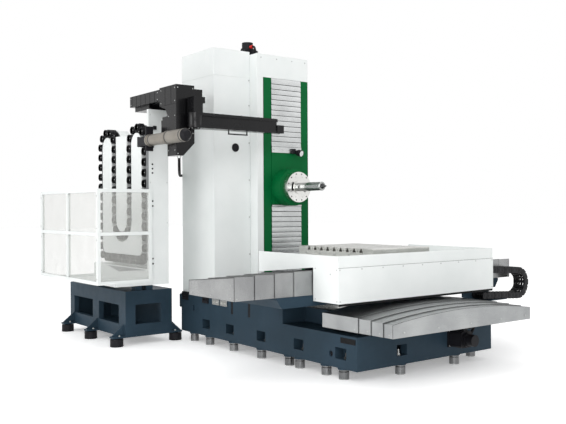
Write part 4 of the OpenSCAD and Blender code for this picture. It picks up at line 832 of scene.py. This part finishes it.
# %% The chain's three runs
low_pts = [(x, Z_LOW + droop(x), -SLOPE) for x in np.arange(LOW_X + PITCH / 2, BEND_X, PITCH)]
count = int(math.pi * RADIUS / PITCH)
bend_pts = []
for k in range(count):
    phi = (k + 0.5) * math.pi / count
    z = Z_LOW + RADIUS - RADIUS * math.cos(phi) + droop(BEND_X)
    bend_pts.append((BEND_X + RADIUS * math.sin(phi), z, phi))
high_pts = [(x, Z_LOW + 2 * RADIUS + droop(x), math.pi - (SLOPE if x > LOW_X else 0.0))
            for x in np.arange(BEND_X - PITCH / 2, HIGH_X, -PITCH)]
lower = chain_run("energy_chain_lower_run", low_pts)
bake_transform(lower)
bend = chain_run("energy_chain_bend", bend_pts)
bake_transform(bend)
upper = chain_run("energy_chain_upper_run", high_pts)
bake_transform(upper)
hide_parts("energy_chain")
print("chain links:", len(low_pts) + len(bend_pts) + len(high_pts))

# %% [markdown]
# ## Tool store
# Sixty tool pots hang on a chain that runs up and down inside the magazine. The fittings are placed
# by walking the same centre line that the CAD pots follow, so they meet every pot without a list
# of places.

# %% The chain's centre line
# The chain's closed centre line in YZ, as legs of (length, start y, start z, heading, turn) with
# angles in degrees. A bend of radius R = length / |turn| has its centre square to the heading.
RUN_Y, TOP_Z, MID_Z, LOW_Z, CORNER = (2.664, 2.244, 1.794, 1.379), 2.543, 1.589, 1.074, 0.150
R1, R2, R3 = ((RUN_Y[i] - RUN_Y[i + 1]) / 2 for i in range(3))
LEGS = [(TOP_Z - LOW_Z - CORNER, RUN_Y[0], LOW_Z + CORNER, 90, 0), (math.pi * R1, RUN_Y[0], TOP_Z, 90, 180),
        (TOP_Z - MID_Z, RUN_Y[1], TOP_Z, 270, 0), (math.pi * R2, RUN_Y[1], MID_Z, 270, -180),
        (TOP_Z - MID_Z, RUN_Y[2], MID_Z, 90, 0), (math.pi * R3, RUN_Y[2], TOP_Z, 90, 180),
        (TOP_Z - LOW_Z - CORNER, RUN_Y[3], TOP_Z, 270, 0),
        (math.pi / 2 * CORNER, RUN_Y[3], LOW_Z + CORNER, 270, 90),
        (RUN_Y[0] - RUN_Y[3] - 2 * CORNER, RUN_Y[3] + CORNER, LOW_Z, 0, 0),
        (math.pi / 2 * CORNER, RUN_Y[0] - CORNER, LOW_Z, 0, 90)]
POTS = 60


def on_chain(s):
    """The point at a distance s along the chain, walking the legs in turn."""
    for length, y, z, heading, turn in LEGS:
        if s < length:
            break
        s -= length
    h = math.radians(heading)
    if not turn:
        return y + s * math.cos(h), z + s * math.sin(h)
    side = math.copysign(1, turn)
    r = length / math.radians(abs(turn))
    a = h - side * math.pi / 2 + side * s / r
    return y - side * r * math.sin(h) + r * math.cos(a), z + side * r * math.cos(h) + r * math.sin(a)


total = sum(leg[0] for leg in LEGS)
centres = [on_chain(k * total / POTS + 0.001) for k in range(POTS)]
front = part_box("tool_pots")[0].x
print("chain length", round(total, 3), "pitch", round(total / POTS, 4))

# %% Pot mouths, link plates and pins
KEY_R = 0.043
p = Piece()
for y, z in centres:
    # Retaining ring, bright sleeve and two drive keys in each pot's mouth
    p.use("black_satin").lathe((front - 0.0002, y, z), TO_LEFT, [
        (0.0480, 0), (0.0480, 0.003), (0.0405, 0.003), (0.0385, -0.004), (0.0385, 0.0)], 28)
    p.use("dark_steel").lathe((front + 0.004, y, z), TO_LEFT, [
        (0.0310, -0.03), (0.0310, 0.002), (0.0262, 0.003), (0.0245, -0.05)], 28)
    for a in (0, math.pi):
        p.use("zinc").block((front - 0.004, y + KEY_R * math.cos(a), z + KEY_R * math.sin(a)),
                            (0.006, 0.005, 0.002), TO_LEFT)
p.make("pot_fittings", "base")

# Outer link plates between neighbouring pots, each with a pin at its middle
PLATE = [(-0.040, -0.029), (0.040, -0.029), (0.040, 0.029), (-0.040, 0.029)]
pins = Piece()
for (y, z), (b, c) in zip(centres, centres[1:] + centres[:1]):
    d = np.array([b - y, c - z]) / math.hypot(b - y, c - z)
    mid_y, mid_z = (y + b) / 2, (z + c) / 2
    pins.use("guide_steel").prism(PLATE, (front + 0.040, mid_y, mid_z), (0, *d), (0, -d[1], d[0]),
                                  (0.005, 0, 0))
    pins.use("zinc").lathe((front + 0.0398, mid_y, mid_z), TO_LEFT, [
        (0.009, 0), (0.009, 0.002), (0.006, 0.002), (0.006, 0.006), (0.005, 0.007)], 12)
pins.make("chain_pins", "base")
print("pots:", len(centres))

# %% Fittings of the magazine's case and of the fence
# Plugs and screws on the case's front face
p = Piece().use("black_satin")
for z in (1.05, 1.113, 1.76, 1.82, 2.167, 2.22, 2.274):
    p.low_head((-1.695, 1.2512, z), TO_FRONT, 0.0115, 0.003, 0.008, 0.006, 16)
p.use("zinc")
for z in (1.55, 2.05, 2.60, 2.88):
    for x0 in (-1.725, -1.495):
        p.low_head((x0, 1.25, z), TO_FRONT, 0.006, 0.002, 0.003, 0.004, 12)
p.make("case_fittings", "base")

# Fence: pane clips and corner screws
lo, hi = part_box("fence_frame")
p = Piece().use("zinc")
for y in (1.24, 2.11, 2.15, 3.02):
    for z in (0.875, 1.405, 1.455, 1.92):
        p.box(lo.x + 0.0135, lo.x + 0.0168, y - 0.02, y + 0.02, z - 0.012, z + 0.012)
for z in (0.90, 1.36, 1.50, 1.88):
    p.cap_screw((lo.x - 0.0002, 1.22, z), TO_LEFT, 0.007, 0.005)
    p.cap_screw((lo.x - 0.0002, 3.04, z), TO_LEFT, 0.007, 0.005)
p.make("fence_fittings", "base", 0.0006)
print("tool store fittings made")

# %% [markdown]
# ## Stand, bed and floor fittings
# The machine stands on levelling mounts that are screwed up and down until the guideways are true.
# The CAD has the mounts of the bed except for one on each side, which is made here. Each then gets a
# hexagonal collar and a zinc ring at the floor, and the castings get their bolts.

# %% Feet and bolts of the tool store's stand
p = Piece()
for x in (-1.971, -1.137):
    for y in (1.70, 2.50, 3.30):
        p.use("black_satin").lathe((x, y, 0.0), UP, [
            (0.079, 0), (0.0840, 0.006), (0.0840, 0.018), (0.079, 0.024)], 40)
        for dy in (-0.034, 0.034):
            inward = 0.02 if x < -1.5 else -0.02
            p.use("zinc").hex_nut((x + inward, y + dy, 0.1262), UP, 0.013, 0.011)
p.make("stand_bolts", "base")

# %% Levelling mounts
MOUNT_X, EXTRA_Y = 0.98, -0.565
p = Piece()
mounts = [(s * MOUNT_X, y) for s in (-1, 1) for y in (-1.46, -1.19, -0.75, -0.04, 0.54, 1.08, 1.46)]
mounts += [(-0.36, -1.64), (0.48, -1.64), (-0.5, 1.64), (0.5, 1.64)]
for x in (-MOUNT_X, MOUNT_X):
    # One more mount each side of the bed, with its own boss under the casting
    p.use("slate_enamel").lathe((x, EXTRA_Y, 0.1003), UP, [
        (0.0625, 0), (0.0635, 0.001), (0.0635, 0.0136)], 48)
    p.use("mount_steel").lathe((x, EXTRA_Y, 0.0), UP, [
        (0.0503, 0), (0.0503, 0.012), (0.0535, 0.0125), (0.0535, 0.076),
        (0.0385, 0.0765), (0.0385, 0.086), (0.0535, 0.0865), (0.0535, 0.1001)], 48)
mounts += [(-MOUNT_X, EXTRA_Y), (MOUNT_X, EXTRA_Y)]
for x, y in mounts:
    p.use("dark_steel").lathe((x, y, 0.0765), UP, [
        (0.0385, 0), (0.046, 0.001), (0.046, 0.006), (0.0385, 0.0075)], HEXAGON)
    p.use("zinc").lathe((x, y, 0.0), UP, [
        (0.0500, 0.0), (0.0542, 0.003), (0.0542, 0.010), (0.0500, 0.0115)], 40)
p.make("mount_collars", "base")
print("levelling mounts:", len(mounts))

# %% Bolts with washers in the side pockets, plugs and the slot's rubber lining
FLANGE_Z = 0.2055
BOLT_AND_WASHER = [(0.028, 0), (0.028, 0.004), (0.010, 0.004), (0.010, 0.06)]
p = Piece()
for s in (-1, 1):
    for y in (-1.47, -0.79, -0.10, 0.55, 1.095):
        # The bolts, washers and nuts in the side pockets are dark steel: painted shade of the pockets
        p.use("dark_steel").lathe((s * 0.975, y - 0.02, FLANGE_Z), UP, BOLT_AND_WASHER + [(0.008, 0.063)], 24)
        p.hex_nut((s * 0.975, y - 0.02, 0.2095), UP, 0.022, 0.018)
    p.use("black_satin").lathe((s * 0.992, -1.32, 0.242), (s, 0, 0), [
        (0.0305, 0), (0.0305, 0.022), (0.022, 0.026), (0.020, 0.018), (0.004, 0.018)], 32)
    x0, x1 = sorted((s * 0.993, s * 1.0355))
    p.use("rubber_and_gap_shade").box(x0, x1, -1.692, -1.472, 0.3735, 0.4265)
    for y in (0.138, 0.500):
        x0, x1 = sorted((s * 1.0215, s * 1.0295))
        p.use("black_satin").box(x0, x1, y - 0.022, y + 0.022, 0.45, 0.613)
p.use("zinc").lathe((-0.41, -1.66, FLANGE_Z), UP, BOLT_AND_WASHER, 24)
p.hex_nut((-0.41, -1.66, 0.2095), UP, 0.022, 0.018)
p.make("bed_fittings", "base")
print("bed fittings made")

# %% Clamp blocks and ground plates at the column's foot
p = Piece().use("black_satin")
for y0, y1, z0, z1 in ((1.528, 1.668, 0.53, 0.634), (1.027, 1.157, 0.53, 0.622)):
    p.box(-1.0525, -1.0325, y0, y1, z0, 0.6135)
    p.box(-1.0525, -1.0135, y0, y1, 0.6145, z1)
    p.cap_screw((-1.0525, (y0 + y1) / 2 - 0.03, 0.572), TO_LEFT, 0.011, 0.010)
    p.cap_screw((-1.0525, (y0 + y1) / 2 + 0.03, 0.572), TO_LEFT, 0.011, 0.010)
p.use("ground_steel")
for y0, y1 in ((0.78, 0.93), (0.60, 0.75)):
    p.box(-1.0445, -1.0325, y0, y1, 0.53, 0.60)
    p.cap_screw((-1.0445, y0 + 0.04, 0.565), TO_LEFT, 0.009, 0.009)
    p.cap_screw((-1.0445, y1 - 0.04, 0.565), TO_LEFT, 0.009, 0.009)
p.make("foot_clamps", "base", 0.002)
print("foot clamps made")

# %% [markdown]
# ## Motors
# The motors of the bed and of the column have a plug with a red lock ring, from which a ribbed
# cable goes down to a gland. A cable is a round tube carried along a smooth curve through a few points.

# %% The bed's motor: flange screws, plug and cable
SCREW_R = 0.112
lo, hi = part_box("z_drive_motor")
cx, cz = 0.38, 0.31
PLUG_Y = -1.90
p = Piece().use("black_satin")
for k in range(4):
    a = math.pi / 4 + k * math.pi / 2
    p.use("zinc").cap_screw((cx + SCREW_R * math.cos(a), -1.732, cz + SCREW_R * math.sin(a)), TO_FRONT,
                            0.008, 0.007)
plug_x, ring_z = cx + 0.05, hi.z + 0.03
p.use("black_satin").rod((plug_x, PLUG_Y, hi.z - 0.02), (plug_x, PLUG_Y, ring_z), 0.026, 24, 0.003)
p.use("red_plastic").rod((plug_x, PLUG_Y, ring_z), (plug_x, PLUG_Y, hi.z + 0.062), 0.030, 24, 0.004)
path = smooth_path([(plug_x, PLUG_Y, hi.z + 0.06), (cx + 0.075, PLUG_Y, hi.z + 0.075),
                    (cx + 0.13, -1.89, hi.z + 0.05), (cx + 0.16, -1.86, hi.z - 0.03),
                    (cx + 0.155, -1.81, hi.z - 0.12), (cx + 0.14, -1.76, hi.z - 0.165),
                    (cx + 0.14, -1.7145, hi.z - 0.17)], 0.012)
p.use("rubber_and_gap_shade").tube(path, 0.015, 12, ribs=0.0015)
p.use("zinc").gland((cx + 0.14, -1.7142, hi.z - 0.17), TO_FRONT, 0.026, 0.004, 0.019, 0.006, 0.02)
p.make("bed_motor_plug", "base")

# %% The column's motor: cooling ribs, plug and cable
lo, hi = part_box("y_drive_motor")
cx, cy, top = -0.115, 1.47, hi.z
plug_x = cx - 0.02
p = Piece().use("black_satin")
for z in np.arange(3.735, 3.88, 0.018):
    p.box(cx - 0.1065, cx + 0.1065, cy - 0.1065, cy + 0.1065, z, z + 0.007)
plug_z = top - 0.075
p.use("red_plastic").rod((plug_x, cy - 0.10, plug_z), (plug_x, cy - 0.155, plug_z), 0.022, 24, 0.003)
path = smooth_path([(plug_x, cy - 0.15, plug_z), (plug_x, cy - 0.19, top - 0.085),
                    (plug_x, cy - 0.215, top - 0.14), (plug_x, cy - 0.215, 3.76),
                    (plug_x, cy - 0.215, 3.709)], 0.012)
p.use("rubber_and_gap_shade").tube(path, 0.013, 12, ribs=0.0015)
p.use("zinc").gland((plug_x, cy - 0.215, 3.7083), UP, 0.024, 0.004, 0.018, 0.006, 0.02)
p.make("column_motor_fittings", "base", 0.0008)
print("motor fittings made")

# %% [markdown]
# ## Tool changer
# A swinging arm carries tools from the magazine to the spindle. Its screws, the seams of the black
# housing and the clamp rings of the transfer cylinder are small shapes standing on the CAD faces.

# %% Screws of the arm
# The arm's turning axis in X and Y, and its lower and upper face
AX, AY, AL, AH = -1.59, 0.40, 2.651, 2.826
ARM_BOLT_R = 0.068
p = Piece()
for x in (AX + 0.10, AX + 0.36, AX + 0.62, AX + 0.88, AX + 1.10):
    for dy in (-0.035, 0.035):
        p.use("zinc").cap_screw((x, AY + dy, AH), UP, 0.009, 0.009)
for k in range(6):
    a = math.radians(60 * k + 30)
    p.cap_screw((AX + ARM_BOLT_R * math.cos(a), AY + ARM_BOLT_R * math.sin(a), AL), (0, 0, -1), 0.007, 0.007)
p.make("arm_screws", "arm")

# %% Seams and screws of the black housing
SEAM_X0, SEAM_X1, SEAM = -1.7835, -1.7818, 0.003
p = Piece().use("rubber_and_gap_shade")
for y in (0.62, 0.76):
    p.box(SEAM_X0, SEAM_X1, y, y + SEAM, 2.94, 3.155)
p.box(SEAM_X0, SEAM_X1, 0.505, 0.895, 2.935, 2.938)
for y in (1.02, 1.14, 1.26, 1.38, 1.50, 1.62):
    p.box(SEAM_X0, SEAM_X1, y, y + SEAM, 3.008, 3.138)
p.use("zinc")
for y, z in ((0.53, 3.12), (0.86, 3.12), (0.53, 2.97), (0.86, 2.97), (0.53, 2.40), (0.68, 2.40),
             (0.53, 2.80), (0.68, 2.80), (0.95, 3.11), (1.65, 3.11), (0.95, 3.03), (1.65, 3.03)):
    p.low_head((-1.782, y, z), TO_LEFT, 0.007, 0.002, 0.004, 0.004, 14)
for x, z in ((-1.76, 3.12), (-1.56, 3.12), (-1.76, 2.55), (-1.56, 2.60), (-1.76, 2.36)):
    p.low_head((x, 0.50, z), TO_FRONT, 0.007, 0.002, 0.004, 0.004, 14)
p.make("housing_screws", "base")

# %% Transfer cylinder: clamp rings at its step and rear, and screws round its rear collar
CX, CZ, COLLAR_R = -1.88, 2.537, 0.070
p = Piece().use("dark_steel")
for y, r in ((0.150, 0.074), (0.470, 0.074), (0.880, 0.067)):
    p.lathe((CX, y, CZ), (0, 1, 0), [(r, 0), (r + 0.002, 0.003), (r + 0.002, 0.017), (r, 0.020)], 48)
for k in range(6):
    a = math.radians(60 * k)
    p.use("zinc").cap_screw((CX + COLLAR_R * math.cos(a), 0.934, CZ + COLLAR_R * math.sin(a)), TO_FRONT,
                            0.004, 0.004)
p.make("transfer_fittings", "base", 0.0006)
print("changer fittings made")

# %% [markdown]
# ## Conduit
# A corrugated conduit leaves the black housing downwards, hangs in a shallow sag and ends in a gland
# behind the column. It is a ribbed tube along the CAD cable's own line, so both lie in one place.

# %% The conduit and its glands
# Each point of the sag is (share of the way from start to end, height)
START, END, GLAND, BEND = np.array([-1.700, 0.580]), np.array([-1.010, 1.770]), (-0.889, 1.700), 0.140
SAG = [(0, 2.337), (0, 2.290), (0.009, 2.250), (0.033, 2.215), (0.069, 2.188), (0.116, 2.170), (0.189, 2.157),
       (0.291, 2.150), (0.422, 2.148), (0.567, 2.150), (0.712, 2.154), (0.858, 2.160), (1, 2.166)]
line = [(*(START + f * (END - START)).tolist(), z) for f, z in SAG]
for a in map(math.radians, (120, 90, 60, 30)):
    line.append((GLAND[0] + BEND * math.cos(a), GLAND[1] + BEND * math.sin(a), 2.170))
line.append((GLAND[0] + BEND, 1.707, 2.170))
path = smooth_path(line, 0.009)
q = Piece().use("rubber_and_gap_shade").tube(path, 0.0155, 14, ribs=0.0015)
conduit = q.make("changer_conduit", "base", sharp=60)
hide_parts("changer_cable")

p = Piece().use("zinc")
p.gland((-1.700, 0.580, 2.3369), (0, 0, -1), 0.028, 0.006, 0.021, 0.008, 0.026)
p.gland((-0.749, 1.7072, 2.170), (0, 1, 0), 0.028, 0.006, 0.021, 0.008, 0.026)
p.make("conduit_glands", "base")

# %% [markdown]
# ## Camera
# The camera stands to the front left at eye height and looks level, so upright edges stay upright.
# The lens is shifted down a little in place of tilting the camera.

# %% The camera
LENS_MM, SHIFT_DOWN, ROLL = 49.229682, 0.0060777, 0.00535
CAMERA_PLACE = (-6.175, -7.304, 1.72)


def view_camera():
    """A camera whose axes are given as right, up and back, turned about the view by ROLL."""
    cam = bpy.data.cameras.new("camera")
    cam.lens = LENS_MM
    cam.clip_end = 100
    cam.shift_y = -SHIFT_DOWN
    o = bpy.data.objects.new("camera", cam)
    bpy.context.collection.objects.link(o)
    right = Vector((0.7965, -0.6046, 0.0))
    back = Vector((-0.6046, -0.7965, 0.0))
    up = back.cross(right)
    c, s = math.cos(ROLL), math.sin(ROLL)
    right, up = right * c - up * s, up * c + right * s
    turn = Matrix((right, up, back)).transposed().to_4x4()
    o.matrix_world = Matrix.Translation(CAMERA_PLACE) @ turn
    bpy.context.scene.camera = o


view_camera()
print("lens", LENS_MM, "mm")

# %% [markdown]
# ## Floor and light
# A white studio: the world lights the machine at 0.76 of full white, but rays that come straight
# from the camera, from a mirror-like face or through a clear pane see full white. That keeps the
# background clean without washing out the enamel. Soft lamps shape the sides.

# %% The studio
WORLD, FLOOR_WHITE = 0.76, 1.06
FLOOR_HALF = 60
LAMPS = [("key", (-7.5, -8.0, 7.5), (0, 0, 1.6), 5.0, 300),
         ("side", (8.0, -5.0, 6.0), (0, 0, 1.5), 5.0, 60),
         ("left", (-9.5, 1.0, 3.5), (0, 0.5, 1.8), 4.0, 170),
         ("low", (-6.6, -7.8, 1.1), (0, -0.3, 0.8), 4.0, 230),
         ("top", (-1.0, 0.5, 10.0), (0, 0.3, 1.0), 6.0, 110)]


def seen_directly(tree):
    """1 for camera, glossy and transmission rays, which see the white background, else 0."""
    path = add_node(tree, "LightPath").outputs
    seen = path["Is Camera Ray"]
    for kind in ("Is Glossy Ray", "Is Transmission Ray"):
        seen = add_node(tree, "Math", {0: seen, 1: path[kind]}, operation="MAXIMUM").outputs[0]
    return seen


def pale_stage():
    """A plain white floor, a white world and five soft lamps."""
    me = bpy.data.meshes.new("floor")
    h = FLOOR_HALF
    me.from_pydata([(-h, -h, 0), (h, -h, 0), (h, h, 0), (-h, h, 0)], [], [(0, 1, 2, 3)])
    floor = bpy.data.objects.new("floor", me)
    bpy.context.collection.objects.link(floor)
    m, t, b = new_material("pale_floor", "#FFFFFF", 0.75)
    t.links.new(spread(t, noise(t, scaled(t, 1, 1, 1), 1.0), 0.72, 0.8), b.inputs["Roughness"])
    lift = add_node(t, "Math", {0: seen_directly(t), 1: FLOOR_WHITE - WORLD}, operation="MULTIPLY").outputs[0]
    b.inputs["Emission Color"].default_value = (1, 1, 1, 1)
    t.links.new(lift, b.inputs["Emission Strength"])
    me.materials.append(m)
    world = bpy.data.worlds.new("studio")
    bpy.context.scene.world = world
    world.use_nodes = True
    t = world.node_tree
    t.nodes.clear()
    level = add_node(t, "MapRange", {"Value": seen_directly(t), "To Min": WORLD, "To Max": 1.0})
    sky = add_node(t, "Background", {"Color": (1, 1, 1, 1), "Strength": level.outputs["Result"]})
    out = add_node(t, "OutputWorld")
    t.links.new(sky.outputs["Background"], out.inputs["Surface"])
    for name, place, aim, size, power in LAMPS:
        lamp = bpy.data.lights.new(name, "AREA")
        lamp.size, lamp.energy = size, power
        o = bpy.data.objects.new(name, lamp)
        bpy.context.collection.objects.link(o)
        o.matrix_world = (Matrix.Translation(place)
                          @ (Vector(aim) - Vector(place)).to_track_quat("-Z", "Y").to_matrix().to_4x4())


pale_stage()
bpy.context.scene.view_settings.view_transform = "Standard"
print(len(LAMPS), "lamps")
